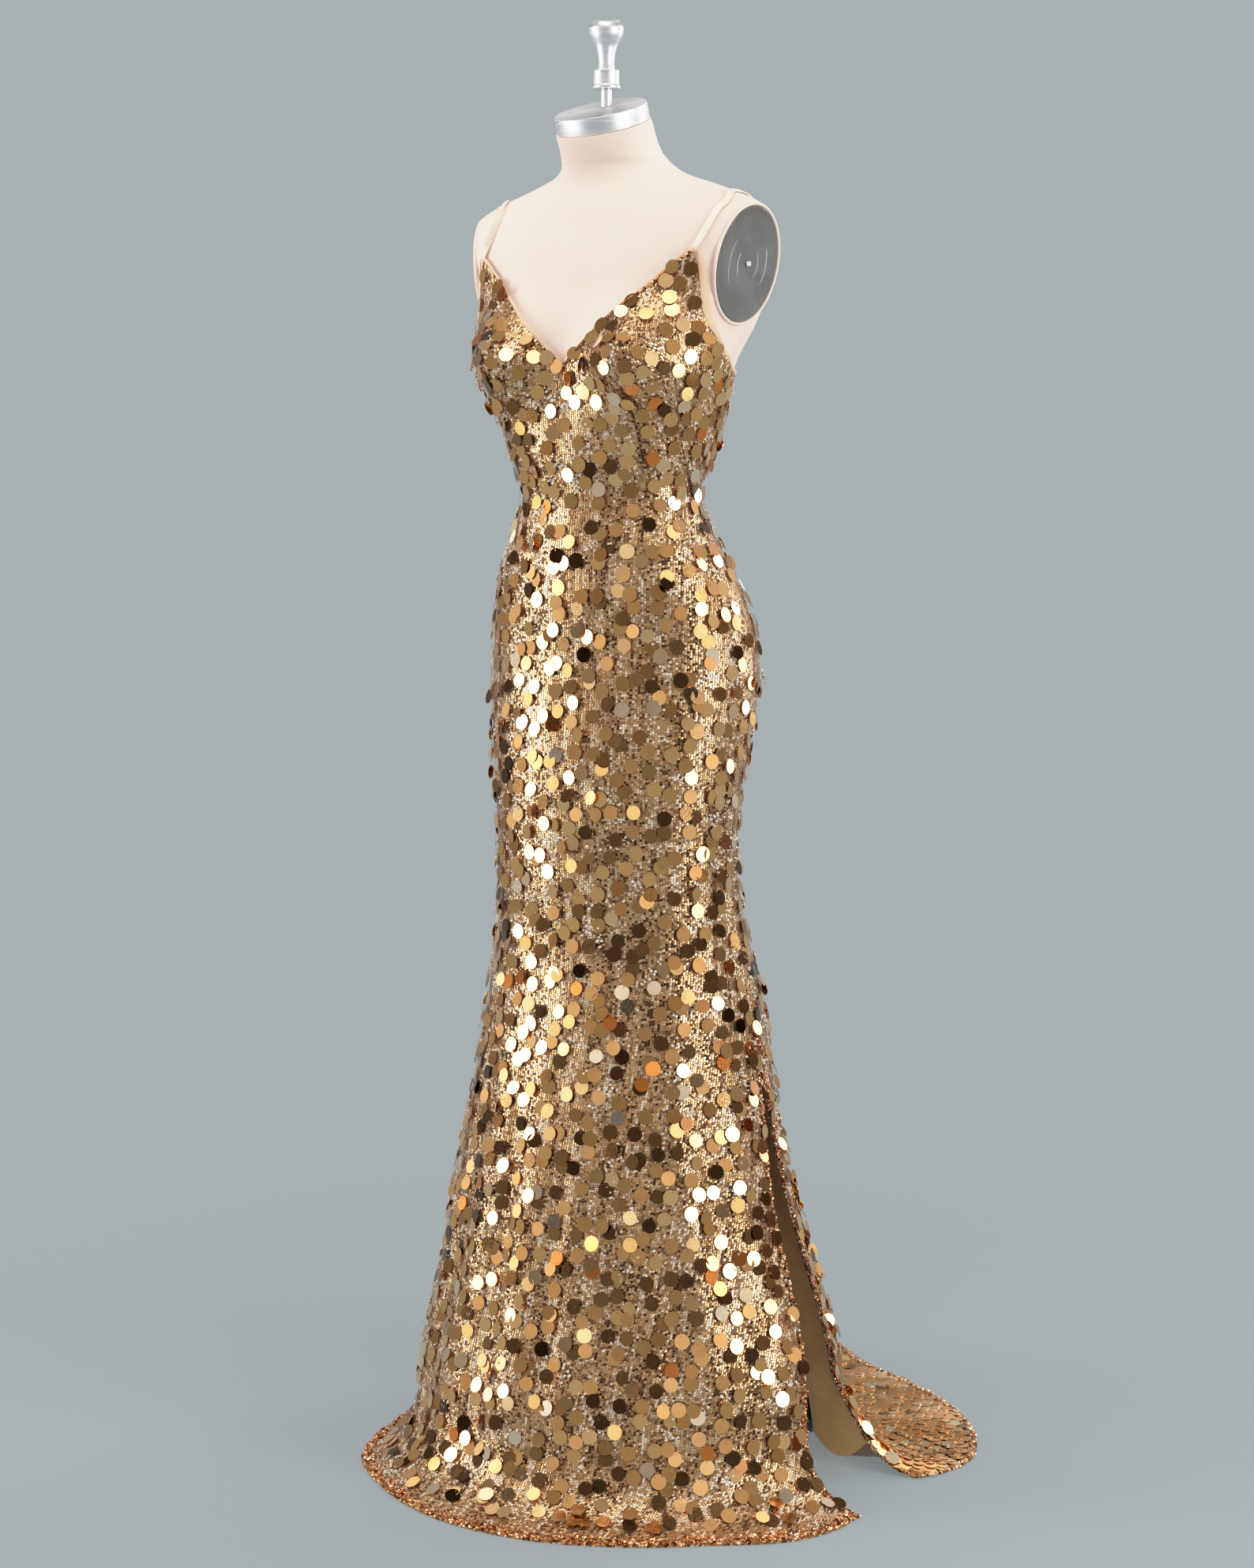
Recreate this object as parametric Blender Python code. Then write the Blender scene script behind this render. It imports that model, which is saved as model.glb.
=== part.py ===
"""Sequinned evening gown with a side slit and a sweep train, standing on a dress form.

Metres, +Z up. The gown faces -Y and the wearer's left is +X. The origin is on the floor,
on the axis of the form's pole. Every wall of cloth lies on one skin: a stack of rounded
sections from the floor to the neck. The gown is that skin with a thickness, cut into
panels, and the form's torso is the same skin set in by the cloth and its ease.
"""
from math import atan2, cos, degrees, exp, hypot, pi, radians, sin, tan

import bmesh
import bpy
from mathutils import Matrix, Vector

# ---- cloth ----
CLOTH = 0.0020          # wall of the sequinned cloth
LINING = 0.0010         # wall of the lining
LINING_GAP = 0.0008     # air between the lining and its panel
LINING_INSET = 0.15     # the lining starts this share of a column behind the slit's edge
LINING_ROWS_ABOVE, LINING_ROWS_ON_FLOOR = 6, 2      # its rows above and below the hem's break
SEAM = 0.0003           # gap between two pieces that meet
EASE = 0.0028           # air between the form and the cloth on it
BINDING = 0.0040        # width of the edge binding
STRAP_WIDTH = 0.0080
STRAP_WALL = 0.0014
STRAP_LIFT = 0.0015     # strap's underside above the form
STRAP_END_LIFT = 0.0031     # the same where it is sewn to the bodice

# ---- levels ----
WAIST = 1.226           # waist seam
HIP_END = 0.800         # flat underside of the form's torso
HIP_Y = -0.022          # middle of that underside
HIP_LEVEL = 0.812       # the skirt's rows run level above this
SLIT_TOP = 0.570
V_POINT = 1.386         # lowest point of the neckline
PEAK_ANGLE, PEAK_LEVEL = 65.5, 1.516    # where the left strap is sewn to the bodice
PEAK_HALF = 1.8         # half of the peak's flat top, in degrees round the body

# ---- seams, in degrees round the body from centre front; the wearer's left is positive ----
SIDE_SEAM = 95.5
SLIT_FRONT_FLOOR = 81.0
SLIT_BACK_FLOOR = 103.8
SLIT_CURVE = 1.15       # the slit opens as this power of the way down
CENTRE_BACK = 180.0

# ---- skin of the gown: outside of the cloth, one row for each level ----
# height, half width, centre's y, reach to the front, reach to the back, squareness,
# taper (how fast a section widens towards the back)
SECTIONS = (
    (0.000, 0.272, 0.000, 0.258, 0.284, 2.10, 0.0),
    (0.120, 0.272, 0.000, 0.249, 0.276, 2.10, 0.0),
    (0.200, 0.258, -0.001, 0.229, 0.249, 2.10, 0.0),
    (0.300, 0.235, -0.008, 0.203, 0.217, 2.10, 0.0),
    (0.400, 0.214, -0.014, 0.179, 0.191, 2.10, 0.0),
    (0.500, 0.196, -0.012, 0.159, 0.168, 2.10, 0.0),
    (0.600, 0.179, -0.010, 0.141, 0.149, 2.15, 0.0),
    (0.680, 0.165, -0.016, 0.126, 0.131, 2.15, 0.0),
    (0.760, 0.158, -0.025, 0.118, 0.120, 2.15, 0.0),
    (0.840, 0.161, -0.026, 0.118, 0.119, 2.15, 0.0),
    (0.920, 0.170, -0.018, 0.123, 0.124, 2.15, 0.0),
    (1.000, 0.176, -0.008, 0.125, 0.133, 2.15, 0.0),
    (1.050, 0.174, -0.010, 0.121, 0.130, 2.15, 0.0),
    (1.100, 0.164, -0.020, 0.114, 0.120, 2.15, 0.0),
    (1.160, 0.140, -0.032, 0.101, 0.105, 2.15, 0.0),
    (1.226, 0.115, -0.038, 0.087, 0.092, 2.15, 0.0),
    (1.280, 0.132, -0.038, 0.099, 0.102, 2.15, 0.0),
    (1.340, 0.151, -0.043, 0.096, 0.112, 2.20, 0.0),
    (1.390, 0.169, -0.044, 0.098, 0.116, 2.30, 0.2),
    (1.430, 0.184, -0.038, 0.095, 0.107, 2.50, 0.9),
    (1.470, 0.196, -0.028, 0.095, 0.100, 2.60, 0.9),
    (1.520, 0.210, -0.022, 0.092, 0.092, 2.65, 0.5),
    (1.550, 0.214, -0.020, 0.086, 0.082, 2.45, 0.2),
    (1.568, 0.209, -0.020, 0.082, 0.068, 2.10, 0.2),
    (1.580, 0.194, -0.020, 0.079, 0.062, 1.85, 0.2),
    (1.591, 0.168, -0.020, 0.075, 0.060, 1.75, 0.1),
    (1.604, 0.131, -0.013, 0.076, 0.049, 1.75, 0.0),
    (1.618, 0.086, -0.014, 0.076, 0.041, 1.90, 0.0),
    (1.634, 0.068, -0.034, 0.066, 0.052, 2.00, 0.0),
    (1.670, 0.0620, -0.0545, 0.0620, 0.0600, 2.00, 0.0),
)
HEIGHT, WIDTH, CENTRE, FRONT, BACK, SQUARE, TAPER = range(7)

# ---- cups ----
CUP_X, CUP_Z = 0.096, 1.386
CUP_DEPTH = 0.048
CUP_WIDE = 0.052
CUP_ABOVE, CUP_BELOW = 0.057, 0.052
CUP_EASE = 0.0016       # how much smaller the form's bust is

# ---- flutes of the lower skirt: angle, half width in degrees, depth at the hem, level where
# it fades out; a positive depth is a trough ----
FLUTES = (
    (-84.0, 7.0, 0.0060, 0.66),
    (-62.0, 6.5, 0.0075, 0.60),
    (-40.0, 6.0, 0.0060, 0.70),
    (-17.0, 6.0, 0.0095, 0.78),
    (6.0, 6.5, 0.0050, 0.62),
    (27.0, 6.0, 0.0100, 0.74),
    (46.0, 5.5, 0.0060, 0.58),
    (65.0, 6.5, 0.0110, 0.84),
    (117.5, 5.5, 0.0460, 0.60),
    (138.0, 6.5, 0.0100, 0.72),
    (160.0, 6.5, 0.0090, 0.66),
    (-113.0, 6.5, 0.0080, 0.68),
    (-135.0, 6.5, 0.0100, 0.64),
    (-158.0, 6.5, 0.0095, 0.72),
)
FLUTE_FULL = 0.18       # a flute has its full depth below this level
FLUTE_FOOT = 0.70       # share of that depth left at the floor

# ---- hem: how far the cloth spreads on the floor, from the section's centre ----
# angle from centre front, reach of the hem
HEM_REACH = (
    (-180.0, 0.520), (-170.0, 0.498), (-158.0, 0.466), (-140.0, 0.452), (-122.0, 0.440),
    (-110.0, 0.398), (-100.0, 0.345), (-90.0, 0.320), (-76.0, 0.316), (-61.0, 0.330),
    (-48.0, 0.345), (-32.0, 0.342), (-12.0, 0.343), (10.0, 0.340), (30.0, 0.338), (50.0, 0.346),
    (70.0, 0.360), (81.0, 0.355), (95.0, 0.360), (103.8, 0.385), (108.0, 0.414),
    (112.0, 0.434), (118.0, 0.450), (135.0, 0.458), (149.0, 0.452), (158.0, 0.452),
    (167.0, 0.460), (173.0, 0.488), (180.0, 0.515),
)
SLIT_FLARE = 0.020      # the slit's front edge swings out by this much
FLARE_RISES = (44.0, 68.0)      # angles over which the flare grows from nothing to full
FLARE_FALLS = (104.0, 90.0)     # the same on the other side of the slit
FLARE_LEVELS = (0.38, 0.12)     # none above the first level, full below the second
BREAK = 0.120           # level where the cloth starts to spread
HEM_STARTS = 0.30       # the skirt rises by the cloth's thickness from this level to the break
TRAIN_LEFT = (96.0, 113.0)      # angles over which the front's hem turns into train, at the left
TRAIN_RIGHT = (-86.0, -124.0)   # and at the right
TRAIN_CREASE = 0.22     # share of the train's rows that fall before it turns outward
TRAIN_FLAT = 0.36       # share of the rows after which it lies flat
TRAIN_RIPPLE = 0.0045   # height of the soft ridges of the train
RIDGE_COUNT = 15        # ridges in a half turn
RIDGE_WIDTH = 38.0      # half width of a ridge, where half a turn stands for its spacing
RIPPLE_RISES, RIPPLE_FALLS = (0.40, 0.75), (1.0, 0.85)      # shares of the train's rows
OPEN_EDGE_RISES, OPEN_EDGE_FALLS = (90.0, 100.0), (114.0, 106.0)   # the back panel's open edge
# how the cloth falls and how it runs out between the break and the hem, as powers of the share
FRONT_FALL, FRONT_RUN = 1.35, 3.2
TRAIN_FALL, TRAIN_RUN = 1.6, 1.25
OPEN_EDGE_FALL = 2.2

# ---- dress form ----
ARM_PLATE = Vector((0.1853, -0.0300, 1.5000))
ARM_PLATE_YAW = radians(15.0)
ARM_PLATE_LEAN = radians(7.0)           # its top stands out
ARM_PLATE_ROLL = radians(12.0)          # its long axis leans back
ARM_PLATE_HALF = (0.0488, 0.0695)       # half width and half height
ARM_PLATE_THICK = 0.0035
ARM_PLATE_EDGE = 0.0012
SCREW_RADIUS, SCREW_HEIGHT = 0.0042, 0.0022
NECK_TILT = radians(19.5)
NECK_TOP = 1.670
NECK_Y = -0.0545
POST_Y = -0.048         # axis of the post, the collar and the knob
CAP_RADIUS, CAP_HEIGHT, CAP_EDGE = 0.0568, 0.0205, 0.0015
POST_RADIUS = 0.0066
COLLAR_BASE, COLLAR_TOP = 1.7140, 1.7360
COLLAR_FLANGE, COLLAR_UPPER_FLANGE, COLLAR_BARREL = 0.0172, 0.0158, 0.0155      # radii
COLLAR_LIP = 0.0035     # thickness of its flanges
KNOB_TOP = 1.7950
POLE_UPPER_RADIUS, POLE_LOWER_RADIUS = 0.0140, 0.0175
CLAMP_LEVEL, CLAMP_HEIGHT, CLAMP_RADIUS = 0.470, 0.036, 0.0240
FLANGE_RADIUS, FLANGE_THICK = 0.052, 0.010
HUB_RADIUS, HUB_TOP = 0.030, 0.130
HUB_DISC_RADIUS, HUB_DISC_THICK = 0.062, 0.012
LEG_RADIUS, LEG_REACH, LEG_LEVEL = 0.0100, 0.2350, 0.096
LEG_BEND = 0.030        # radius of the leg's bend
LEG_BEND_STEPS = 5
FOOT_RADIUS, FOOT_HEIGHT = 0.032, 0.062
# shares of the foot's radius and height
FOOT_PROFILE = (
    (0.0, 0.0), (0.62, 0.0), (0.92, 0.18), (1.0, 0.42), (0.90, 0.70), (0.62, 0.90), (0.41, 1.0),
    (0.0, 1.0),
)
# name and direction of each leg, in degrees from +X
LEGS = (("front_left", -45), ("back_left", 45), ("back_right", 135), ("front_right", -135))
EDGE = 0.002            # chamfer of the turned pieces
HUB_EDGE = 0.005
CLAMP_CONE, CLAMP_NECK = 0.008, 0.018   # height of the clamp's cone and its smaller radius

# ---- zip ----
ZIP_LEVEL = 1.278       # axis of the pull
ZIP_GAP = 0.0004
SLIDER_SIZE = Vector((0.0052, 0.0022, 0.0095))
BAIL_RADIUS, BAIL_WIRE = 0.0014, 0.0004
PULL_SIZE = (0.0062, 0.0235)
PULL_THICK = 0.0010
PULL_WINDOW = (0.0034, 0.0030)
CROSSBAR = 0.0010
PULL_CLEAR = 0.0009     # from the slider's face to the pull's axis
SLIDER_EDGE = 0.0005    # bevel round the slider
BAIL_START, BAIL_SWEEP, BAIL_STEPS = radians(125.0), radians(-250.0), 9
PULL_TIP = 0.0040       # length of the pull's narrowing tip
PULL_CHAMFER = 0.0008
WINDOW_CHAMFER = 0.0006

# ---- mesh density ----
COLUMN_STEP = 7.4       # degrees between two columns of a panel
HIP_ROWS, LOW_ROWS = 9, 8       # rows of the skirt above and below the hip level
ROWS_ON_FLOOR = (0.14, 0.28, 0.38, 0.55, 0.72, 0.87, 1.0)
SLIT_CROWDING = 1.3     # the back's left panel has closer columns at the slit
TORSO_COLUMNS = 40
# bands of the torso's rows above the waist: from, to, number of rows
TORSO_BANDS = (
    (WAIST, 1.300, 3), (1.300, 1.480, 9), (1.480, 1.560, 3), (1.560, 1.616, 5), (1.616, 1.662, 2),
)
SMALL_STEP = 1e-3       # step for the skin's slopes
TURN_STEP = 0.2         # the same round the body, in degrees
ROW_STEP = 0.004        # the same along the skirt's rows
EDGE_ROUNDS = 12        # rounds that settle the neckline's level


def smooth_row(rows, key, at):
    """All the columns of a table at one place, by a smooth curve through its rows."""
    last = len(rows) - 1
    at = min(max(at, rows[0][key]), rows[last][key])
    i = 0
    while i < last - 1 and at > rows[i + 1][key]:
        i += 1
    low, high = rows[i], rows[i + 1]
    before, after = rows[max(i - 1, 0)], rows[min(i + 2, last)]
    span = high[key] - low[key]
    t = (at - low[key]) / span
    values = []
    for column in range(len(low)):
        slope_low = (high[column] - before[column]) / (high[key] - before[key]) * span
        slope_high = (after[column] - low[column]) / (after[key] - low[key]) * span
        values.append(low[column] * (2 * t**3 - 3 * t**2 + 1) + slope_low * (t**3 - 2 * t**2 + t)
                      + high[column] * (3 * t**2 - 2 * t**3) + slope_high * (t**3 - t**2))
    return values


def ramp(value, low, high):
    """0 below low, 1 above high, soft between; low may be the larger one."""
    t = min(max((value - low) / (high - low), 0.0), 1.0)
    return t * t * (3 - 2 * t)


def bell(value, centre, half_width):
    """A soft bump of height 1."""
    return exp(-((value - centre) / half_width) ** 2)


def section_reach(row, angle):
    """Distance from a section's centre to its edge."""
    across, along = abs(sin(radians(angle))), cos(radians(angle))
    depth = row[FRONT] if along > 0 else row[BACK]
    power = row[SQUARE]
    return ((across / row[WIDTH]) ** power + (abs(along) / depth) ** power) ** (-1 / power)


def flute_depth(angle, height):
    """How far the flutes draw the cloth in at a place."""
    depth = 0.0
    for centre, half_width, deep, fade in FLUTES:
        depth += deep * bell(angle, centre, half_width) * ramp(height, fade, FLUTE_FULL)
    return depth * (FLUTE_FOOT + (1 - FLUTE_FOOT) * ramp(height, 0.0, BREAK))


def slit_flare(angle, height):
    """The slit's front edge swings out on the wearer's left."""
    around = ramp(angle, *FLARE_RISES) * ramp(angle, *FLARE_FALLS)
    return SLIT_FLARE * around * ramp(height, *FLARE_LEVELS)


def cup(x, height):
    """0 away from the two cups, 1 at their points."""
    tall = CUP_ABOVE if height > CUP_Z else CUP_BELOW
    return bell(abs(x), CUP_X, CUP_WIDE) * bell(height, CUP_Z, tall)


def body_skin(angle, height):
    """A point of the skin above the break of the hem."""
    row = smooth_row(SECTIONS, HEIGHT, height)
    reach = section_reach(row, angle) + slit_flare(angle, height) - flute_depth(angle, height)
    x = reach * sin(radians(angle))
    y = row[CENTRE] - reach * cos(radians(angle))
    x *= 1 + row[TAPER] * (y - row[CENTRE])
    if y < row[CENTRE]:
        y -= CUP_DEPTH * cup(x, height)
    return Vector((x, y, height))


def train_share(angle):
    """0 where the hem is a front hem, 1 where it is train."""
    return ramp(angle, *TRAIN_LEFT) if angle > 0 else ramp(angle, *TRAIN_RIGHT)


def hem_skin(angle, spread):
    """A point of the cloth that spreads on the floor, from the break (0) to the hem (1)."""
    back = train_share(angle)
    open_edge = ramp(angle, *OPEN_EDGE_RISES) * ramp(angle, *OPEN_EDGE_FALLS)
    front_level = (1 - spread) ** FRONT_FALL
    back_level = max(0.0, 1 - spread / TRAIN_FLAT) ** TRAIN_FALL
    edge_level = (1 - spread) ** OPEN_EDGE_FALL
    front_run = spread ** FRONT_RUN
    back_run = (max(0.0, spread - TRAIN_CREASE) / (1 - TRAIN_CREASE)) ** TRAIN_RUN
    level = front_level + (back_level - front_level) * back
    run = front_run + (back_run - front_run) * back
    level += (edge_level - level) * open_edge
    run += (spread - run) * open_edge
    base = body_skin(angle, BREAK * level)
    centre = Vector((0.0, smooth_row(SECTIONS, HEIGHT, 0.0)[CENTRE], BREAK * level))
    outward = base - centre
    foot = body_skin(angle, 0.0) - Vector((0.0, centre.y, 0.0))
    reach = smooth_row(HEM_REACH, 0, angle)[1] + slit_flare(angle, 0.0)
    point = base + outward.normalized() * (reach - foot.length) * run
    phase = (angle * RIDGE_COUNT / 2) % CENTRE_BACK - CENTRE_BACK / 2
    ridge = bell(phase, 0.0, RIDGE_WIDTH)
    flat_middle = ramp(spread, *RIPPLE_RISES) * ramp(spread, *RIPPLE_FALLS)
    point.z += CLOTH + TRAIN_RIPPLE * back * ridge * flat_middle
    return point


def row_level(row):
    """Level of a row of the skirt between the waist seam (0) and the break of the hem (1)."""
    if row <= 0.5:
        return WAIST - SEAM / 2 + (HIP_LEVEL - WAIST + SEAM / 2) * 2 * row
    return HIP_LEVEL + (BREAK - HIP_LEVEL) * (2 * row - 1)


def skirt_skin(angle, row):
    """A point of the skirt: row 0 is the waist seam, 1 the break of the hem, 2 the hem."""
    if row <= 1.0:
        level = row_level(row)
        point = body_skin(angle, level)
        point.z += CLOTH * ramp(level, HEM_STARTS, BREAK)
        return point
    return hem_skin(angle, row - 1.0)


def slopes(surface, a, b, step_a, step_b):
    """The outward normal of a surface by small steps along it."""
    along_a = surface(a + step_a, b) - surface(a - step_a, b)
    along_b = surface(a, b + step_b) - surface(a, b - step_b)
    return along_a.cross(along_b).normalized()


def body_inside(angle, height, depth):
    """A point under the skin of the bodice or the form, square to the skin."""
    normal = slopes(body_skin, angle, height, TURN_STEP, SMALL_STEP)
    return body_skin(angle, height) - normal * depth


def skirt_inside(angle, row, depth):
    """A point under the skin of the skirt, square to it and never below the floor."""
    low, high = max(row - ROW_STEP, 0.0), min(row + ROW_STEP, 2.0)
    along_angle = skirt_skin(angle + TURN_STEP, row) - skirt_skin(angle - TURN_STEP, row)
    along_row = skirt_skin(angle, low) - skirt_skin(angle, high)
    normal = along_angle.cross(along_row).normalized()
    point = skirt_skin(angle, row) - normal * depth
    point.z = max(point.z, 0.0)
    return point


def gap_angle(point_radius):
    """Half of the seam's gap as an angle."""
    return degrees(SEAM / 2 / point_radius)


# ---- the bodice's top edge ----
ARMHOLE_STOPS = (68.4, 69.6, 71.2, 73.2, 76.8, 80.8, 85.5, 90.5)      # its closest columns
EDGE_TURN = 2.0         # degrees ahead and behind for the edge's slope
# angle from centre front, level of the top edge from the peak round to the back
SIDE_EDGE = (
    (PEAK_ANGLE + PEAK_HALF, PEAK_LEVEL), (69.6, 1.494), (73.2, 1.462), (80.8, 1.421),
    (95.0, 1.386), (103.0, 1.377), (122.0, 1.371), (150.0, 1.345), (CENTRE_BACK, 1.305),
)


def top_edge(angle):
    """Level of the bodice's top edge."""
    turn = abs(angle)
    if turn >= PEAK_ANGLE + PEAK_HALF:
        return smooth_row(SIDE_EDGE, 0, turn)[1]
    if turn >= PEAK_ANGLE - PEAK_HALF:
        return PEAK_LEVEL
    level = V_POINT
    full = abs(body_skin(PEAK_ANGLE - PEAK_HALF, PEAK_LEVEL).x)
    for _ in range(EDGE_ROUNDS):
        level = V_POINT + (PEAK_LEVEL - V_POINT) * abs(body_skin(turn, level).x) / full
    return level


def below_edge(angle, width):
    """Level of a line that runs a width below the top edge, square to it."""
    turn = abs(angle)
    if turn >= PEAK_ANGLE + PEAK_HALF:
        ahead = min(turn + EDGE_TURN, CENTRE_BACK)
        behind = max(turn - EDGE_TURN, PEAK_ANGLE + PEAK_HALF)
    elif turn <= PEAK_ANGLE - PEAK_HALF:
        ahead = min(turn + EDGE_TURN, PEAK_ANGLE - PEAK_HALF)
        behind = max(turn - EDGE_TURN, 0.0)
    else:
        return PEAK_LEVEL - width
    here, there = body_skin(behind, top_edge(behind)), body_skin(ahead, top_edge(ahead))
    along = hypot(there.x - here.x, there.y - here.y)
    slope = (there.z - here.z) / along
    return top_edge(angle) - width * (1 + slope * slope) ** 0.5


def slit_edge(floor_angle, row):
    """Angle of a slit's edge at a row of the skirt; the side seam above the slit."""
    level = row_level(min(row, 1.0))
    share = min(max((SLIT_TOP - level) / (SLIT_TOP - BREAK), 0.0), 1.0)
    return SIDE_SEAM + (floor_angle - SIDE_SEAM) * share ** SLIT_CURVE


# ---- Blender helpers ----
def material(name, colour, roughness, metallic=0.0):
    made = bpy.data.materials.new(name)
    made.use_nodes = True
    shader = made.node_tree.nodes["Principled BSDF"]
    shader.inputs["Base Color"].default_value = (*colour, 1.0)
    shader.inputs["Roughness"].default_value = roughness
    shader.inputs["Metallic"].default_value = metallic
    made.diffuse_color = (*colour, 1.0)
    return made


def finish(name, mesh, look, sharp=40.0):
    """Turn a bmesh into a named object with its own material."""
    bmesh.ops.recalc_face_normals(mesh, faces=mesh.faces[:])
    if mesh.calc_volume(signed=True) < 0:
        bmesh.ops.reverse_faces(mesh, faces=mesh.faces[:])
    data = bpy.data.meshes.new(name)
    mesh.to_mesh(data)
    mesh.free()
    data.shade_smooth()
    data.set_sharp_from_angle(angle=radians(sharp))
    thing = bpy.data.objects.new(name, data)
    bpy.context.collection.objects.link(thing)
    data.materials.append(material(name, *look))
    return thing


def wall(name, columns, rows, place, depths, look):
    """A wall of cloth from a grid; place gives the point at a column, a row and a depth."""
    mesh = bmesh.new()
    bmesh.ops.create_grid(mesh, x_segments=columns, y_segments=rows, size=0.5)
    copied = bmesh.ops.extrude_face_region(mesh, geom=mesh.faces[:], use_keep_orig=True)
    inner = {item for item in copied["geom"] if isinstance(item, bmesh.types.BMVert)}
    for vert in mesh.verts:
        depth = depths[1] if vert in inner else depths[0]
        vert.co = place(round((vert.co.x + 0.5) * columns), round((vert.co.y + 0.5) * rows), depth)
    bmesh.ops.triangulate(mesh, faces=mesh.faces[:], quad_method="SHORT_EDGE")
    return finish(name, mesh, look)


def turned(name, profile, look, steps=32, at=Vector()):
    """A turned piece: radius and height pairs from the axis to the axis."""
    mesh = bmesh.new()
    verts = [mesh.verts.new((radius, 0.0, height)) for radius, height in profile]
    edges = [mesh.edges.new(pair) for pair in zip(verts, verts[1:])]
    bmesh.ops.spin(mesh, geom=verts + edges, axis=(0, 0, 1), cent=(0, 0, 0), angle=2 * pi,
                   steps=steps, use_merge=True)
    bmesh.ops.remove_doubles(mesh, verts=mesh.verts[:], dist=1e-6)
    bmesh.ops.translate(mesh, verts=mesh.verts[:], vec=at)
    return finish(name, mesh, look, 30.0)


# ---- looks ----
SEQUINS = ((0.78, 0.56, 0.28), 0.25, 0.9)
LINING_CLOTH = ((0.42, 0.28, 0.16), 0.8)
BINDING_CLOTH = ((0.86, 0.62, 0.46), 0.7)
STRAP_CLOTH = ((0.88, 0.80, 0.70), 0.6)
FORM_CLOTH = ((0.84, 0.78, 0.70), 0.85)
ALUMINIUM = ((0.75, 0.75, 0.76), 0.3, 1.0)
SMOKED_PLASTIC = ((0.10, 0.11, 0.12), 0.15)
STEEL = ((0.55, 0.56, 0.58), 0.3, 1.0)
ENAMEL = ((0.02, 0.03, 0.03), 0.2)
ZIP_METAL = ((0.70, 0.55, 0.32), 0.35, 1.0)


# ---- gown ----
# distance from the body's middle at a seam, which turns the seam's gap into degrees
SIDE_RADIUS, BACK_RADIUS, POINT_RADIUS, PEAK_RADIUS, SKIRT_RADIUS = 0.16, 0.11, 0.09, 0.15, 0.17
FRONT_LEVELS, BACK_LEVELS = 11, 8       # rows of the bodice's panels
BINDING_INSET = 0.0002                  # the binding is this much thinner on each side


def spread_angles(start, end, fixed=()):
    """Column angles from start to end, with the fixed ones among them."""
    stops = [start, *fixed, end]
    angles = [start]
    for low, high in zip(stops, stops[1:]):
        count = max(1, round((high - low) / COLUMN_STEP))
        angles += [low + (high - low) * (i + 1) / count for i in range(count)]
    return angles


def bodice_panel(name, angles, levels):
    """A bodice panel between the waist seam and the binding."""
    def place(column, row, depth):
        angle = angles[column]
        bottom = WAIST + SEAM / 2
        top = below_edge(angle, BINDING + SEAM)
        return body_inside(angle, bottom + (top - bottom) * row / levels, depth)
    return wall(name, len(angles) - 1, levels, place, (0.0, CLOTH), SEQUINS)


def binding(name, angles):
    """A narrow binding that ends the cloth along the top edge."""
    def place(column, row, depth):
        angle = angles[column]
        level = top_edge(angle) if row else below_edge(angle, BINDING)
        return body_inside(angle, level, depth)
    depths = (BINDING_INSET, CLOTH - BINDING_INSET)
    return wall(name, len(angles) - 1, 1, place, depths, BINDING_CLOTH)


def mirrored(angles):
    """The same columns on the wearer's right, in rising order."""
    return [-angle for angle in reversed(angles)]


def bodice():
    seam = gap_angle(SIDE_RADIUS)
    low, high = PEAK_ANGLE - PEAK_HALF, PEAK_ANGLE + PEAK_HALF
    front = spread_angles(0.0, SIDE_SEAM - seam, (low, high, *ARMHOLE_STOPS))
    back = spread_angles(SIDE_SEAM + seam, CENTRE_BACK - gap_angle(BACK_RADIUS))
    bodice_panel("bodice_front", mirrored(front)[:-1] + front, FRONT_LEVELS)
    bodice_panel("bodice_back_left", back, BACK_LEVELS)
    bodice_panel("bodice_back_right", mirrored(back), BACK_LEVELS)
    at_point, at_peak = gap_angle(POINT_RADIUS), gap_angle(PEAK_RADIUS)
    neck = [angle for angle in front[1:] if angle < PEAK_ANGLE]
    neck = [at_point] + neck + [PEAK_ANGLE - at_peak]
    side = [PEAK_ANGLE + at_peak] + [angle for angle in front if angle > PEAK_ANGLE] + back
    binding("binding_neck_left", neck)
    binding("binding_neck_right", mirrored(neck))
    binding("binding_side_left", side)
    binding("binding_side_right", mirrored(side))


STRAP_BACK = 148.0      # angle where the strap meets the back's edge
STRAP_ROWS = 26
STRAP_END = 0.12        # share of the strap over which its end turns and lifts
ALONG_STEP = 0.01       # step along the strap for its direction
# share of the way, angle, level along the middle of each strap on the form
STRAP_START = (0.0, PEAK_ANGLE, PEAK_LEVEL + SEAM)
STRAP_DOWN_BACK = (
    (0.60, 99.0, 1.577), (0.72, 112.0, 1.530), (0.86, 130.0, 1.450),
    (1.0, STRAP_BACK, top_edge(STRAP_BACK) + 2 * SEAM),
)
STRAP_ROUTES = {
    1: (STRAP_START, (0.13, 68.0, 1.536), (0.27, 71.5, 1.557), (0.38, 76.5, 1.572),
        (0.50, 87.5, 1.590)) + STRAP_DOWN_BACK,
    -1: (STRAP_START, (0.13, 63.5, 1.537), (0.27, 63.8, 1.558), (0.38, 67.5, 1.573),
         (0.48, 78.0, 1.590), (0.54, 88.5, 1.5905)) + STRAP_DOWN_BACK,
}


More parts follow.
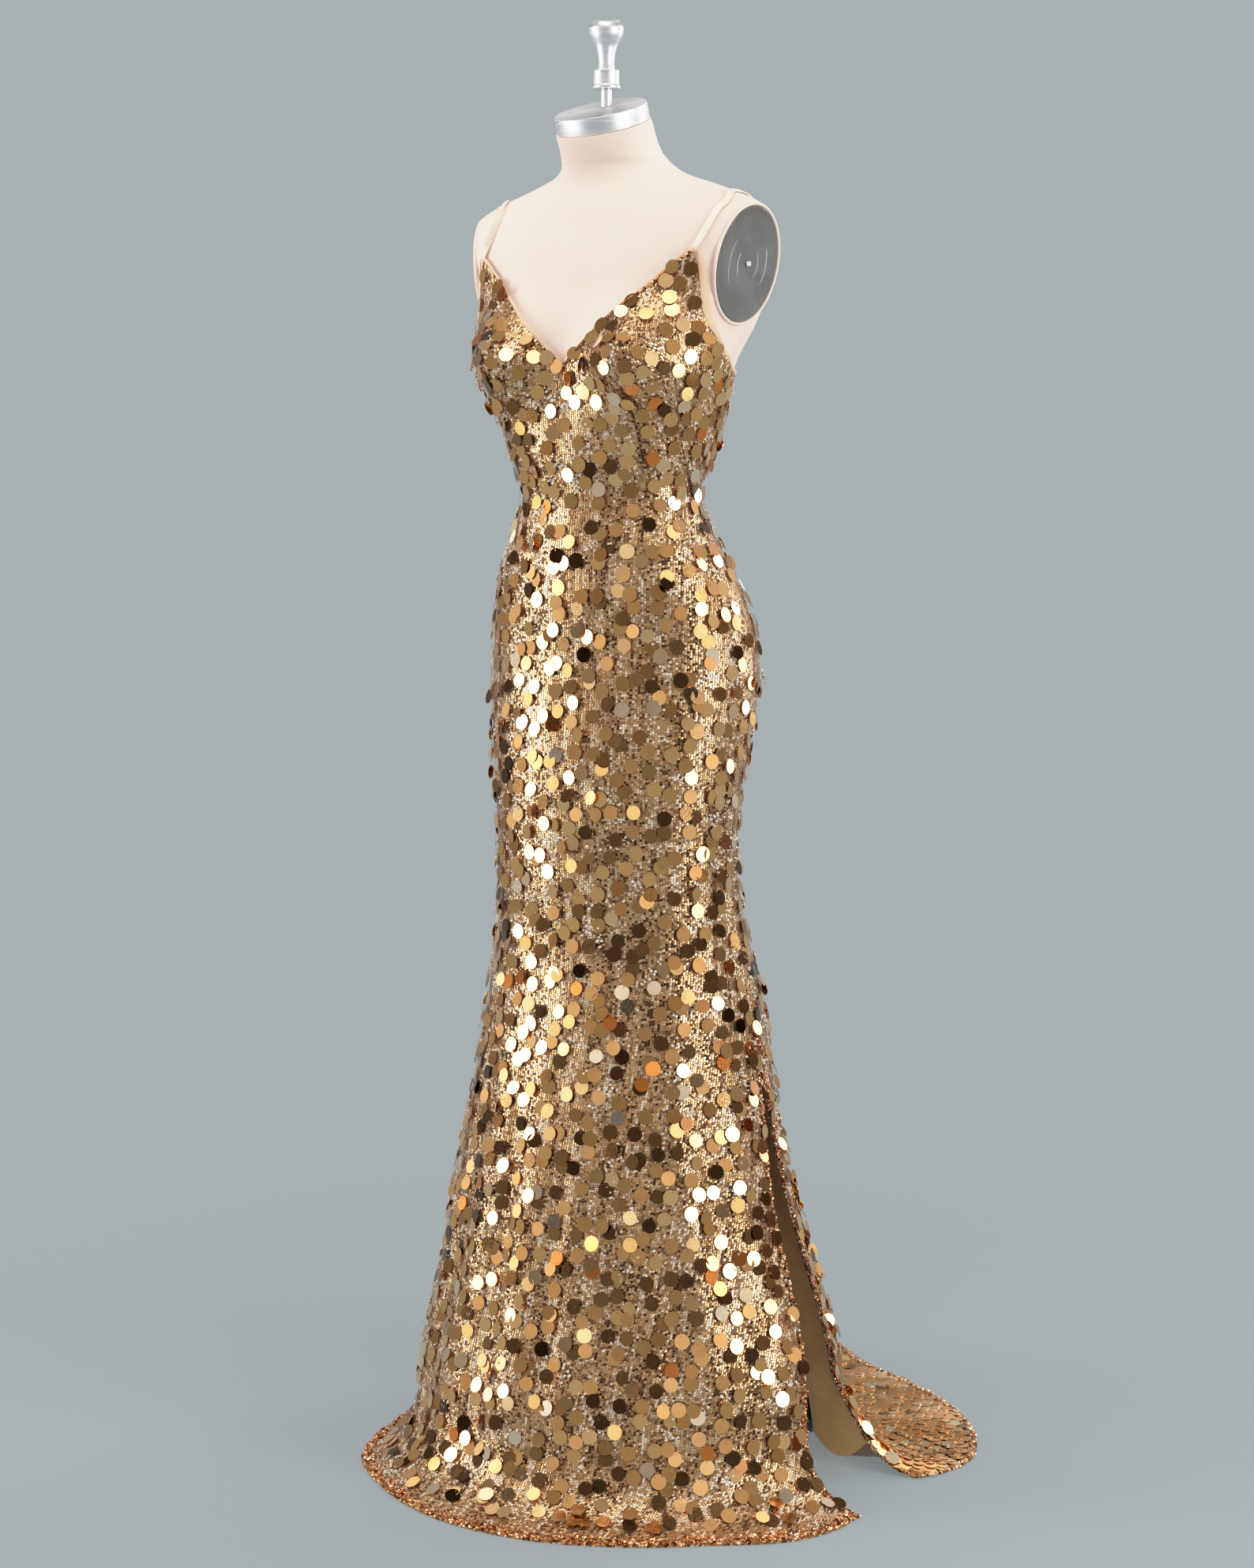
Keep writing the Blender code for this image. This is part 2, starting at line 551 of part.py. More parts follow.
def strap(name, sign):
    """A narrow strap from the peak, over the shoulder, to the back's edge."""
    def middle(along):
        _, angle, level = smooth_row(STRAP_ROUTES[sign], 0, along)
        return body_inside(angle, level, CLOTH + EASE)

    def edge_way(angle):
        """Direction of the bodice's top edge, which the strap's end follows."""
        start, end = angle - 1.0, angle + 1.0
        return (body_skin(end, top_edge(end)) - body_skin(start, top_edge(start))).normalized()

    def place(column, row, depth):
        along = row / STRAP_ROWS
        _, angle, level = smooth_row(STRAP_ROUTES[sign], 0, along)
        normal = slopes(body_skin, angle, level, TURN_STEP, SMALL_STEP)
        ahead = middle(min(along + ALONG_STEP, 1.0)) - middle(max(along - ALONG_STEP, 0.0))
        sideways = ahead.cross(normal).normalized()
        along_edge = edge_way(PEAK_ANGLE if along < 0.5 else STRAP_BACK)
        if along_edge.dot(sideways) < 0:
            along_edge = -along_edge
        near_end = ramp(min(along, 1 - along), STRAP_END, 0.0)
        sideways = sideways.lerp(along_edge, near_end)
        lift = STRAP_LIFT + (STRAP_END_LIFT - STRAP_LIFT) * near_end + depth
        point = middle(along) + normal * lift + sideways * STRAP_WIDTH * (column / 2 - 0.5)
        return Vector((sign * point.x, point.y, point.z))
    wall(name, 2, STRAP_ROWS, place, (0.0, STRAP_WALL), STRAP_CLOTH)


def skirt_rows():
    """Rows of a skirt panel: over the hips, down to the break, then along the floor."""
    hips = [0.5 * i / HIP_ROWS for i in range(HIP_ROWS)]
    low = [0.5 + 0.5 * i / LOW_ROWS for i in range(LOW_ROWS + 1)]
    return hips + low + [1 + spread for spread in ROWS_ON_FLOOR]


def skirt_grid(first, last, columns, rows, crowding=1.0):
    """A function that gives a point under the skirt's skin at a column and a row."""
    def place(column, row, depth):
        start, end = first(rows[row]), last(rows[row])
        share = (column / columns) ** crowding
        return skirt_inside(start + (end - start) * share, rows[row], depth)
    return place


def back_left_grid():
    """Grid of the back's left panel, closer at the slit, which its lining shares."""
    seam = gap_angle(SKIRT_RADIUS)
    columns = round((CENTRE_BACK - SIDE_SEAM) / COLUMN_STEP) + 1
    place = skirt_grid(lambda row: slit_edge(SLIT_BACK_FLOOR, row) + seam,
                       lambda row: CENTRE_BACK - seam, columns, skirt_rows(), SLIT_CROWDING)
    return columns, place


def skirt():
    seam = gap_angle(SKIRT_RADIUS)
    rows = skirt_rows()
    depths = (0.0, CLOTH)
    last = len(rows) - 1
    slit_side, back_left = back_left_grid()
    half = slit_side - 1
    front_left = skirt_grid(lambda row: seam,
                            lambda row: slit_edge(SLIT_FRONT_FLOOR, row) - seam, half, rows)
    front_right = skirt_grid(lambda row: -SIDE_SEAM + seam, lambda row: -seam, half, rows)
    back_right = skirt_grid(lambda row: -CENTRE_BACK + seam,
                            lambda row: -SIDE_SEAM - seam, half, rows)
    wall("skirt_front_left", half, last, front_left, depths, SEQUINS)
    wall("skirt_front_right", half, last, front_right, depths, SEQUINS)
    wall("skirt_back_left", slit_side, last, back_left, depths, SEQUINS)
    wall("skirt_back_right", half, last, back_right, depths, SEQUINS)


def lining():
    """The back's lining, on the same grid as the panel, from above the slit to the floor."""
    columns, outside = back_left_grid()
    rows = skirt_rows()
    break_row = rows.index(1.0)
    top = break_row - LINING_ROWS_ABOVE
    lowest = break_row + LINING_ROWS_ON_FLOOR
    inner = CLOTH + LINING_GAP

    def place(column, row, depth):
        row += top
        if column > 0:
            return outside(column, row, depth)
        return outside(0, row, depth).lerp(outside(1, row, depth), LINING_INSET)
    wall("lining_back_left", columns, lowest - top, place, (inner, inner + LINING), LINING_CLOTH)


# ---- zip ----
def zip_seat():
    """Outward direction of the back at the slider, and the lean of the slider on it."""
    normal = slopes(body_skin, CENTRE_BACK, ZIP_LEVEL, TURN_STEP, SMALL_STEP)
    return normal, atan2(-normal.z, normal.y)


def zip_axis():
    """A point on the pull's hinge axis."""
    normal, _ = zip_seat()
    rise = ZIP_GAP + SLIDER_SIZE.y + PULL_CLEAR
    return body_skin(CENTRE_BACK, ZIP_LEVEL) + normal * rise


def zip_slider():
    """A flat slider over the seam with a small arch that holds the pull."""
    _, lean = zip_seat()
    body = bmesh.new()
    bmesh.ops.create_cube(body, size=1.0)
    bmesh.ops.scale(body, vec=SLIDER_SIZE, verts=body.verts[:])
    bmesh.ops.bevel(body, geom=body.edges[:], offset=SLIDER_EDGE, segments=1, affect="EDGES",
                    profile=0.5)
    seat_back = Vector((0.0, -PULL_CLEAR - SLIDER_SIZE.y / 2, 0.0))
    bmesh.ops.translate(body, verts=body.verts[:], vec=seat_back)
    arch = bmesh.new()
    ring = bmesh.ops.create_circle(arch, segments=6, radius=BAIL_WIRE)["verts"]
    bmesh.ops.translate(arch, verts=ring, vec=(0.0, BAIL_RADIUS, 0.0))
    start = Matrix.Rotation(BAIL_START, 3, "X")
    bmesh.ops.rotate(arch, verts=ring, cent=(0, 0, 0), matrix=start)
    bmesh.ops.spin(arch, geom=arch.edges[:] + arch.verts[:], axis=(1, 0, 0), cent=(0, 0, 0),
                   angle=BAIL_SWEEP, steps=BAIL_STEPS)
    bmesh.ops.holes_fill(arch, edges=[edge for edge in arch.edges if edge.is_boundary])
    seat = Matrix.Translation(zip_axis()) @ Matrix.Rotation(-lean, 4, "X")
    for shape in (body, arch):
        bmesh.ops.transform(shape, matrix=seat, verts=shape.verts[:])
    block = finish("zip_slider", body, ZIP_METAL)
    bail = finish("zip_bail", arch, ZIP_METAL)
    bail.hide_render = True
    bail.display_type = "WIRE"
    join = block.modifiers.new("bail", "BOOLEAN")
    join.operation = "UNION"
    join.object = bail


def zip_pull():
    """The pull: a narrow plate with a window whose top bar lies under the slider's arch."""
    axis = zip_axis()
    width, length = PULL_SIZE
    mesh = bmesh.new()

    def loop(points):
        verts = [mesh.verts.new((x, 0.0, z)) for x, z in points]
        return [mesh.edges.new((a, b)) for a, b in zip(verts, verts[1:] + verts[:1])]

    top = CROSSBAR / 2
    low = top - length
    right_side = [(width / 2 - PULL_CHAMFER, top), (width / 2, top - PULL_CHAMFER),
                  (width / 2, low + PULL_TIP), (width / 4, low)]
    outer = right_side + [(-x, z) for x, z in reversed(right_side)]
    in_x, in_top = PULL_WINDOW[0] / 2, -CROSSBAR / 2
    in_low = in_top - PULL_WINDOW[1]
    window_side = [(in_x - WINDOW_CHAMFER, in_top), (in_x, in_top - WINDOW_CHAMFER),
                   (in_x, in_low + WINDOW_CHAMFER), (in_x - WINDOW_CHAMFER, in_low)]
    inner = window_side + [(-x, z) for x, z in reversed(window_side)]
    edges = loop(outer) + loop(inner)
    bmesh.ops.bridge_loops(mesh, edges=edges)
    made = bmesh.ops.extrude_face_region(mesh, geom=mesh.faces[:], use_keep_orig=True)
    moved = [item for item in made["geom"] if isinstance(item, bmesh.types.BMVert)]
    bmesh.ops.translate(mesh, verts=moved, vec=(0.0, PULL_THICK, 0.0))
    bmesh.ops.translate(mesh, verts=mesh.verts[:], vec=axis + Vector((0.0, -PULL_THICK / 2, 0.0)))
    finish("zip_pull", mesh, ZIP_METAL)


# ---- dress form ----
def plate_side(sign):
    """Centre and outward direction of an arm plate's seat."""
    centre = Vector((sign * ARM_PLATE.x, ARM_PLATE.y, ARM_PLATE.z))
    level = cos(ARM_PLATE_LEAN)
    outward = Vector((sign * cos(ARM_PLATE_YAW) * level, -sin(ARM_PLATE_YAW) * level,
                      -sin(ARM_PLATE_LEAN)))
    return centre, outward


SEATS_START = 1.40      # the arm plates' seats lie above this level
NECK_LEANS = (1.606, 1.663)     # levels over which the rows lean into the neck plane
UNDERSIDE = 0.93        # the underside is this much smaller than the row above it


def torso_point(angle, height):
    """The form's skin: the gown's skin set in, with flat seats for the arm plates."""
    point = body_inside(angle, height, CLOTH + EASE)
    if point.y < ARM_PLATE.y:
        point.y += CUP_EASE * cup(point.x, height)
    sign = 1 if point.x > 0 else -1
    centre, outward = plate_side(sign)
    if height > SEATS_START:
        beyond = (point - centre).dot(outward)
        point -= outward * max(beyond, 0.0)
    lean = ramp(height, *NECK_LEANS)
    point.z += (height - point.z + tan(NECK_TILT) * (point.y - NECK_Y)) * lean
    return point


def form_torso():
    levels = [HIP_END]
    for low, high, count in ((HIP_LEVEL, WAIST, HIP_ROWS), *TORSO_BANDS):
        levels += [low + (high - low) * i / count for i in range(count)]
    levels.append(NECK_TOP)
    rows = len(levels) - 1
    mesh = bmesh.new()
    bmesh.ops.create_grid(mesh, x_segments=TORSO_COLUMNS, y_segments=rows, size=0.5)
    for vert in mesh.verts:
        column, row = round((vert.co.x + 0.5) * TORSO_COLUMNS), round((vert.co.y + 0.5) * rows)
        angle = 360.0 * column / TORSO_COLUMNS - 180.0
        vert.co = torso_point(angle if column < TORSO_COLUMNS else -180.0, levels[row])
        if row == 0:
            middle = Vector((0.0, HIP_Y, HIP_END))
            vert.co = middle.lerp(Vector((vert.co.x, vert.co.y, HIP_END)), UNDERSIDE)
    bmesh.ops.remove_doubles(mesh, verts=mesh.verts[:], dist=1e-5)
    bmesh.ops.holes_fill(mesh, edges=[edge for edge in mesh.edges if edge.is_boundary])
    finish("form_torso", mesh, FORM_CLOTH, 60.0)


def arm_plates():
    """A smoked oval plate in each armhole with a domed screw at its middle."""
    for label, sign in (("left", 1), ("right", -1)):
        centre, outward = plate_side(sign)
        up = (Vector((0.0, 0.0, 1.0)) - outward * outward.z).normalized()
        up = Matrix.Rotation(-sign * ARM_PLATE_ROLL, 3, outward) @ up
        turn = Matrix((up.cross(outward), up, outward)).transposed().to_4x4()
        plate = bmesh.new()
        bmesh.ops.create_cone(plate, cap_ends=True, segments=36, radius1=1.0, radius2=1.0,
                              depth=ARM_PLATE_THICK)
        rim = [edge for edge in plate.edges if all(vert.co.z > 0 for vert in edge.verts)]
        bmesh.ops.scale(plate, vec=(*ARM_PLATE_HALF, 1.0), verts=plate.verts[:])
        bmesh.ops.bevel(plate, geom=rim, offset=ARM_PLATE_EDGE, segments=1, affect="EDGES",
                        profile=0.5)
        lift = SEAM + ARM_PLATE_THICK / 2
        bmesh.ops.transform(plate, matrix=Matrix.Translation(centre + outward * lift) @ turn,
                            verts=plate.verts[:])
        finish("arm_plate_" + label, plate, SMOKED_PLASTIC)
        base = 2 * SEAM + ARM_PLATE_THICK
        profile = ((0.0, base), (SCREW_RADIUS, base), (SCREW_RADIUS, base + SCREW_HEIGHT * 0.4),
                   (SCREW_RADIUS * 0.6, base + SCREW_HEIGHT * 0.9), (0.0, base + SCREW_HEIGHT))
        screw = turned("arm_screw_" + label, profile, STEEL, 16)
        screw.data.transform(Matrix.Translation(centre) @ turn)


def neck_plane(y, above):
    """Level of the tilted neck plane at a place, raised square to itself."""
    return NECK_TOP + tan(NECK_TILT) * (y - NECK_Y) + above / cos(NECK_TILT)


# radius and height of the knob's outline above its underside
KNOB_PROFILE = (
    (0.0, 0.0), (0.0098, 0.0), (0.0100, 0.004), (0.0080, 0.008), (0.0088, 0.018), (0.0120, 0.026),
    (0.0185, 0.034), (0.0213, 0.040), (0.0205, 0.0492), (0.0150, 0.0557),
)


def neck_fittings():
    """The aluminium cap, its post, the flanged collar and the turned knob."""
    tilt = Matrix.Translation((0.0, NECK_Y, NECK_TOP)) @ Matrix.Rotation(NECK_TILT, 4, "X")
    top = SEAM + CAP_HEIGHT
    profile = ((0.0, SEAM), (CAP_RADIUS, SEAM), (CAP_RADIUS, top - CAP_EDGE),
               (CAP_RADIUS - CAP_EDGE, top), (0.0, top))
    cap = turned("neck_cap", profile, ALUMINIUM, 40)
    cap.data.transform(tilt)
    post = bmesh.new()
    height = COLLAR_BASE - SEAM - NECK_TOP
    bmesh.ops.create_cone(post, cap_ends=True, segments=20, radius1=POST_RADIUS, radius2=POST_RADIUS,
                          depth=height)
    bmesh.ops.translate(post, verts=post.verts[:], vec=(0.0, POST_Y, NECK_TOP + height / 2))
    for vert in post.verts:
        if vert.co.z < NECK_TOP + height / 2:
            vert.co.z = neck_plane(vert.co.y, CAP_HEIGHT + 2 * SEAM)
    finish("neck_post", post, ALUMINIUM)
    above = Vector((0.0, POST_Y, 0.0))
    slope = 0.001
    profile = ((0.0, COLLAR_BASE), (COLLAR_FLANGE, COLLAR_BASE),
               (COLLAR_FLANGE, COLLAR_BASE + COLLAR_LIP),
               (COLLAR_BARREL, COLLAR_BASE + COLLAR_LIP + slope),
               (COLLAR_BARREL, COLLAR_TOP - COLLAR_LIP),
               (COLLAR_UPPER_FLANGE, COLLAR_TOP - COLLAR_LIP + slope),
               (COLLAR_UPPER_FLANGE, COLLAR_TOP), (0.0, COLLAR_TOP))
    turned("neck_collar", profile, ALUMINIUM, 26, above)
    low = COLLAR_TOP + SEAM
    profile = [(radius, low + rise) for radius, rise in KNOB_PROFILE]
    turned("neck_knob", (*profile, (0.0, KNOB_TOP)), ALUMINIUM, 24, above)


def rod(name, radius, low, high):
    """A round rod on the pole's axis."""
    turned(name, ((0.0, low), (radius, low), (radius, high), (0.0, high)), STEEL, 24)


def stand():
    """Flange, telescopic pole with its clamp, hub, four legs and four feet."""
    top = HIP_END - SEAM
    low = top - FLANGE_THICK
    profile = ((0.0, low), (FLANGE_RADIUS - EDGE, low), (FLANGE_RADIUS, low + EDGE),
               (FLANGE_RADIUS, top), (0.0, top))
    turned("torso_flange", profile, STEEL, 24)
    clamp_top = CLAMP_LEVEL + CLAMP_HEIGHT
    rod("pole_upper", POLE_UPPER_RADIUS, clamp_top + SEAM, low - SEAM)
    profile = ((0.0, CLAMP_LEVEL), (CLAMP_RADIUS - EDGE, CLAMP_LEVEL),
               (CLAMP_RADIUS, CLAMP_LEVEL + EDGE), (CLAMP_RADIUS, clamp_top - CLAMP_CONE),
               (CLAMP_NECK, clamp_top), (0.0, clamp_top))
    turned("pole_clamp", profile, STEEL, 24)
    rod("pole_lower", POLE_LOWER_RADIUS, HUB_TOP + SEAM, CLAMP_LEVEL - SEAM)
    profile = ((0.0, 0.0), (HUB_DISC_RADIUS, 0.0), (HUB_DISC_RADIUS, HUB_DISC_THICK - EDGE),
               (HUB_DISC_RADIUS - EDGE, HUB_DISC_THICK),
               (HUB_RADIUS + HUB_EDGE, HUB_DISC_THICK + HUB_EDGE),
               (HUB_RADIUS, HUB_DISC_THICK + 3 * HUB_EDGE), (HUB_RADIUS, HUB_TOP - HUB_EDGE),
               (HUB_RADIUS - HUB_EDGE, HUB_TOP), (0.0, HUB_TOP))
    turned("base_hub", profile, ENAMEL, 20)
    bun = [(FOOT_RADIUS * wide, FOOT_HEIGHT * high) for wide, high in FOOT_PROFILE]
    for name, turn in LEGS:
        direction = Vector((cos(radians(turn)), sin(radians(turn)), 0.0))
        turned("base_foot_" + name, bun, ENAMEL, 16, direction * LEG_REACH)
        leg(name, direction)


def leg(name, direction):
    """A round leg that leaves the hub level and turns down into its foot."""
    start = HUB_RADIUS + SEAM
    straight = LEG_LEVEL - LEG_BEND - FOOT_HEIGHT - SEAM
    points = [direction * start + Vector((0.0, 0.0, LEG_LEVEL))]
    for i in range(LEG_BEND_STEPS + 1):
        turn = i / LEG_BEND_STEPS * pi / 2
        points.append(direction * (LEG_REACH - LEG_BEND + LEG_BEND * sin(turn))
                      + Vector((0.0, 0.0, LEG_LEVEL - LEG_BEND + LEG_BEND * cos(turn))))
    points.append(points[-1] - Vector((0.0, 0.0, straight)))
    line = bpy.data.curves.new("base_leg_" + name, "CURVE")
    line.dimensions = "3D"
    line.bevel_depth = LEG_RADIUS
    line.bevel_resolution = 2
    line.use_fill_caps = True
    spline = line.splines.new("POLY")
    spline.points.add(len(points) - 1)
    for target, point in zip(spline.points, points):
        target.co = (*point, 1.0)
    thing = bpy.data.objects.new("base_leg_" + name, line)
    bpy.context.collection.objects.link(thing)
    line.materials.append(material("base_leg_" + name, *ENAMEL))


def main():
    for thing in list(bpy.data.objects):
        bpy.data.objects.remove(thing, do_unlink=True)
    form_torso()
    arm_plates()
    neck_fittings()
    stand()
    bodice()
    skirt()
    lining()
    strap("strap_left", 1)
    strap("strap_right", -1)
    zip_slider()
    zip_pull()


main()
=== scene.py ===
"""Looks of a sequinned evening gown on its dress form.

Metres, +Z up. The gown faces -Y, the wearer's left is +X, and the origin is on the floor
under the pole. Each piece of cloth is a fine shell on the form of its solid; the round
paillettes, the small sequins and the beads are sewn on along the cloth.
"""
from math import cos, degrees, exp, hypot, pi, radians, sin, tan

import bmesh
import bpy
import numpy as np
from mathutils import Matrix, Vector


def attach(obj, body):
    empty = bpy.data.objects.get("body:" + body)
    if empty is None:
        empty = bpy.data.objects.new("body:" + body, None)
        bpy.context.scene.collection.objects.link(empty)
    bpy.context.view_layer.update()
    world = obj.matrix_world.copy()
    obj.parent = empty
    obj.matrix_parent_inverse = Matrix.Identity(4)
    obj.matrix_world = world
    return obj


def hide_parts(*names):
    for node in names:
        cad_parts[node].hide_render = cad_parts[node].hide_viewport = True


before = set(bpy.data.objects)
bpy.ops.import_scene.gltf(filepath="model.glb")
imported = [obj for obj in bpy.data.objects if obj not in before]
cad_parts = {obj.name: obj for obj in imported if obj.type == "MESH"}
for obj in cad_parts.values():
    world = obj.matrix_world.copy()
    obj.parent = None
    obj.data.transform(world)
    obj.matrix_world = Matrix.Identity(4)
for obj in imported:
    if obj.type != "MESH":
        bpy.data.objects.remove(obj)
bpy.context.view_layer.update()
GOWN = "gown_on_form"

# ---- the gown's skin, the same as its solids' ----
CLOTH = 0.0020
LINING = 0.0010
LINING_GAP = 0.0008
SEAM = 0.0003
EASE = 0.0028
BINDING = 0.0040
STRAP_WIDTH = 0.0080
STRAP_WALL = 0.0014
STRAP_LIFT, STRAP_END_LIFT = 0.0015, 0.0031
STRAP_CROWN = 0.0003        # a strap is this much thicker along its middle
GROUND_WALL, BINDING_WALL = CLOTH - 0.0004, CLOTH - 0.0002      # a hair less than the solids' walls
WAIST = 1.226
HIP_END, HIP_Y, HIP_LEVEL = 0.800, -0.022, 0.812
SLIT_TOP, SLIT_CURVE = 0.570, 1.15
V_POINT = 1.386
PEAK_ANGLE, PEAK_LEVEL, PEAK_HALF = 65.5, 1.516, 1.8
SIDE_SEAM = 95.5
SLIT_FRONT_FLOOR, SLIT_BACK_FLOOR = 81.0, 103.8
CENTRE_BACK = 180.0
# height, half width, centre's y, reach to the front, reach to the back, squareness, taper
SECTIONS = (
    (0.000, 0.272, 0.000, 0.258, 0.284, 2.10, 0.0),
    (0.120, 0.272, 0.000, 0.249, 0.276, 2.10, 0.0),
    (0.200, 0.258, -0.001, 0.229, 0.249, 2.10, 0.0),
    (0.300, 0.235, -0.008, 0.203, 0.217, 2.10, 0.0),
    (0.400, 0.214, -0.014, 0.179, 0.191, 2.10, 0.0),
    (0.500, 0.196, -0.012, 0.159, 0.168, 2.10, 0.0),
    (0.600, 0.179, -0.010, 0.141, 0.149, 2.15, 0.0),
    (0.680, 0.165, -0.016, 0.126, 0.131, 2.15, 0.0),
    (0.760, 0.158, -0.025, 0.118, 0.120, 2.15, 0.0),
    (0.840, 0.161, -0.026, 0.118, 0.119, 2.15, 0.0),
    (0.920, 0.170, -0.018, 0.123, 0.124, 2.15, 0.0),
    (1.000, 0.176, -0.008, 0.125, 0.133, 2.15, 0.0),
    (1.050, 0.174, -0.010, 0.121, 0.130, 2.15, 0.0),
    (1.100, 0.164, -0.020, 0.114, 0.120, 2.15, 0.0),
    (1.160, 0.140, -0.032, 0.101, 0.105, 2.15, 0.0),
    (1.226, 0.115, -0.038, 0.087, 0.092, 2.15, 0.0),
    (1.280, 0.132, -0.038, 0.099, 0.102, 2.15, 0.0),
    (1.340, 0.151, -0.043, 0.096, 0.112, 2.20, 0.0),
    (1.390, 0.169, -0.044, 0.098, 0.116, 2.30, 0.2),
    (1.430, 0.184, -0.038, 0.095, 0.107, 2.50, 0.9),
    (1.470, 0.196, -0.028, 0.095, 0.100, 2.60, 0.9),
    (1.520, 0.210, -0.022, 0.092, 0.092, 2.65, 0.5),
    (1.550, 0.214, -0.020, 0.086, 0.082, 2.45, 0.2),
    (1.568, 0.209, -0.020, 0.082, 0.068, 2.10, 0.2),
    (1.580, 0.194, -0.020, 0.079, 0.062, 1.85, 0.2),
    (1.591, 0.168, -0.020, 0.075, 0.060, 1.75, 0.1),
    (1.604, 0.131, -0.013, 0.076, 0.049, 1.75, 0.0),
    (1.618, 0.086, -0.014, 0.076, 0.041, 1.90, 0.0),
    (1.634, 0.068, -0.034, 0.066, 0.052, 2.00, 0.0),
    (1.670, 0.0620, -0.0545, 0.0620, 0.0600, 2.00, 0.0),
)
HEIGHT, WIDTH, CENTRE, FRONT, BACK, SQUARE, TAPER = range(7)
CUP_X, CUP_Z, CUP_DEPTH, CUP_WIDE = 0.096, 1.386, 0.048, 0.052
CUP_ABOVE, CUP_BELOW, CUP_EASE = 0.057, 0.052, 0.0016
# angle, half width in degrees, depth at the hem, level where the flute fades out
FLUTES = (
    (-84.0, 7.0, 0.0060, 0.66), (-62.0, 6.5, 0.0075, 0.60), (-40.0, 6.0, 0.0060, 0.70),
    (-17.0, 6.0, 0.0095, 0.78), (6.0, 6.5, 0.0050, 0.62), (27.0, 6.0, 0.0100, 0.74),
    (46.0, 5.5, 0.0060, 0.58), (65.0, 6.5, 0.0110, 0.84), (117.5, 5.5, 0.0460, 0.60),
    (138.0, 6.5, 0.0100, 0.72), (160.0, 6.5, 0.0090, 0.66), (-113.0, 6.5, 0.0080, 0.68),
    (-135.0, 6.5, 0.0100, 0.64), (-158.0, 6.5, 0.0095, 0.72),
)
FLUTE_FULL, FLUTE_FOOT, FLUTED_BELOW = 0.18, 0.70, 0.90
# angle from centre front, reach of the hem
HEM_REACH = (
    (-180.0, 0.520), (-170.0, 0.498), (-158.0, 0.466), (-140.0, 0.452), (-122.0, 0.440),
    (-110.0, 0.398), (-100.0, 0.345), (-90.0, 0.320), (-76.0, 0.316), (-61.0, 0.330),
    (-48.0, 0.345), (-32.0, 0.342), (-12.0, 0.343), (10.0, 0.340), (30.0, 0.338), (50.0, 0.346),
    (70.0, 0.360), (81.0, 0.355), (95.0, 0.360), (103.8, 0.385), (108.0, 0.414),
    (112.0, 0.434), (118.0, 0.450), (135.0, 0.458), (149.0, 0.452), (158.0, 0.452),
    (167.0, 0.460), (173.0, 0.488), (180.0, 0.515),
)
SLIT_FLARE = 0.020
FLARE_RISES, FLARE_FALLS, FLARE_LEVELS = (44.0, 68.0), (104.0, 90.0), (0.38, 0.12)
BREAK, HEM_STARTS = 0.120, 0.30
TRAIN_LEFT, TRAIN_RIGHT = (96.0, 113.0), (-86.0, -124.0)
TRAIN_CREASE, TRAIN_FLAT, TRAIN_RIPPLE = 0.22, 0.36, 0.0045
RIDGE_COUNT, RIDGE_WIDTH = 15, 38.0
RIPPLE_RISES, RIPPLE_FALLS = (0.40, 0.75), (1.0, 0.85)
OPEN_EDGE_RISES, OPEN_EDGE_FALLS = (90.0, 100.0), (114.0, 106.0)
FRONT_FALL, FRONT_RUN, TRAIN_FALL, TRAIN_RUN, OPEN_EDGE_FALL = 1.35, 3.2, 1.6, 1.25, 2.2
# angle from centre front, level of the top edge from the peak round to the back
SIDE_EDGE = (
    (PEAK_ANGLE + PEAK_HALF, PEAK_LEVEL), (69.6, 1.494), (73.2, 1.462), (80.8, 1.421),
    (95.0, 1.386), (103.0, 1.377), (122.0, 1.371), (150.0, 1.345), (CENTRE_BACK, 1.305),
)

# ---- dress form ----
ARM_PLATE = Vector((0.1853, -0.0300, 1.5000))
ARM_PLATE_YAW, ARM_PLATE_LEAN, ARM_PLATE_ROLL = radians(15.0), radians(7.0), radians(12.0)
ARM_PLATE_HALF = (0.0488, 0.0695)
ARM_PLATE_THICK = 0.0035
NECK_TILT = radians(19.5)
NECK_TOP, NECK_Y, POST_Y = 1.670, -0.0545, -0.048
CAP_RADIUS, CAP_HEIGHT = 0.0568, 0.0205
COLLAR_BASE, COLLAR_TOP, KNOB_TOP = 1.7140, 1.7360, 1.7950


def smooth_row(rows, key, at):
    """All the columns of a table at one place, by a smooth curve through its rows."""
    last = len(rows) - 1
    at = min(max(at, rows[0][key]), rows[last][key])
    i = 0
    while i < last - 1 and at > rows[i + 1][key]:
        i += 1
    low, high = rows[i], rows[i + 1]
    before, after = rows[max(i - 1, 0)], rows[min(i + 2, last)]
    span = high[key] - low[key]
    t = (at - low[key]) / span
    values = []
    for column in range(len(low)):
        slope_low = (high[column] - before[column]) / (high[key] - before[key]) * span
        slope_high = (after[column] - low[column]) / (after[key] - low[key]) * span
        values.append(low[column] * (2 * t**3 - 3 * t**2 + 1) + slope_low * (t**3 - 2 * t**2 + t)
                      + high[column] * (3 * t**2 - 2 * t**3) + slope_high * (t**3 - t**2))
    return values


def ramp(value, low, high):
    t = min(max((value - low) / (high - low), 0.0), 1.0)
    return t * t * (3 - 2 * t)


def bell(value, centre, half_width):
    return exp(-((value - centre) / half_width) ** 2)


SECTION_CACHE = {}


def section(height):
    """The row of the sections' table at a level."""
    key = round(height, 5)
    if key not in SECTION_CACHE:
        SECTION_CACHE[key] = smooth_row(SECTIONS, HEIGHT, height)
    return SECTION_CACHE[key]


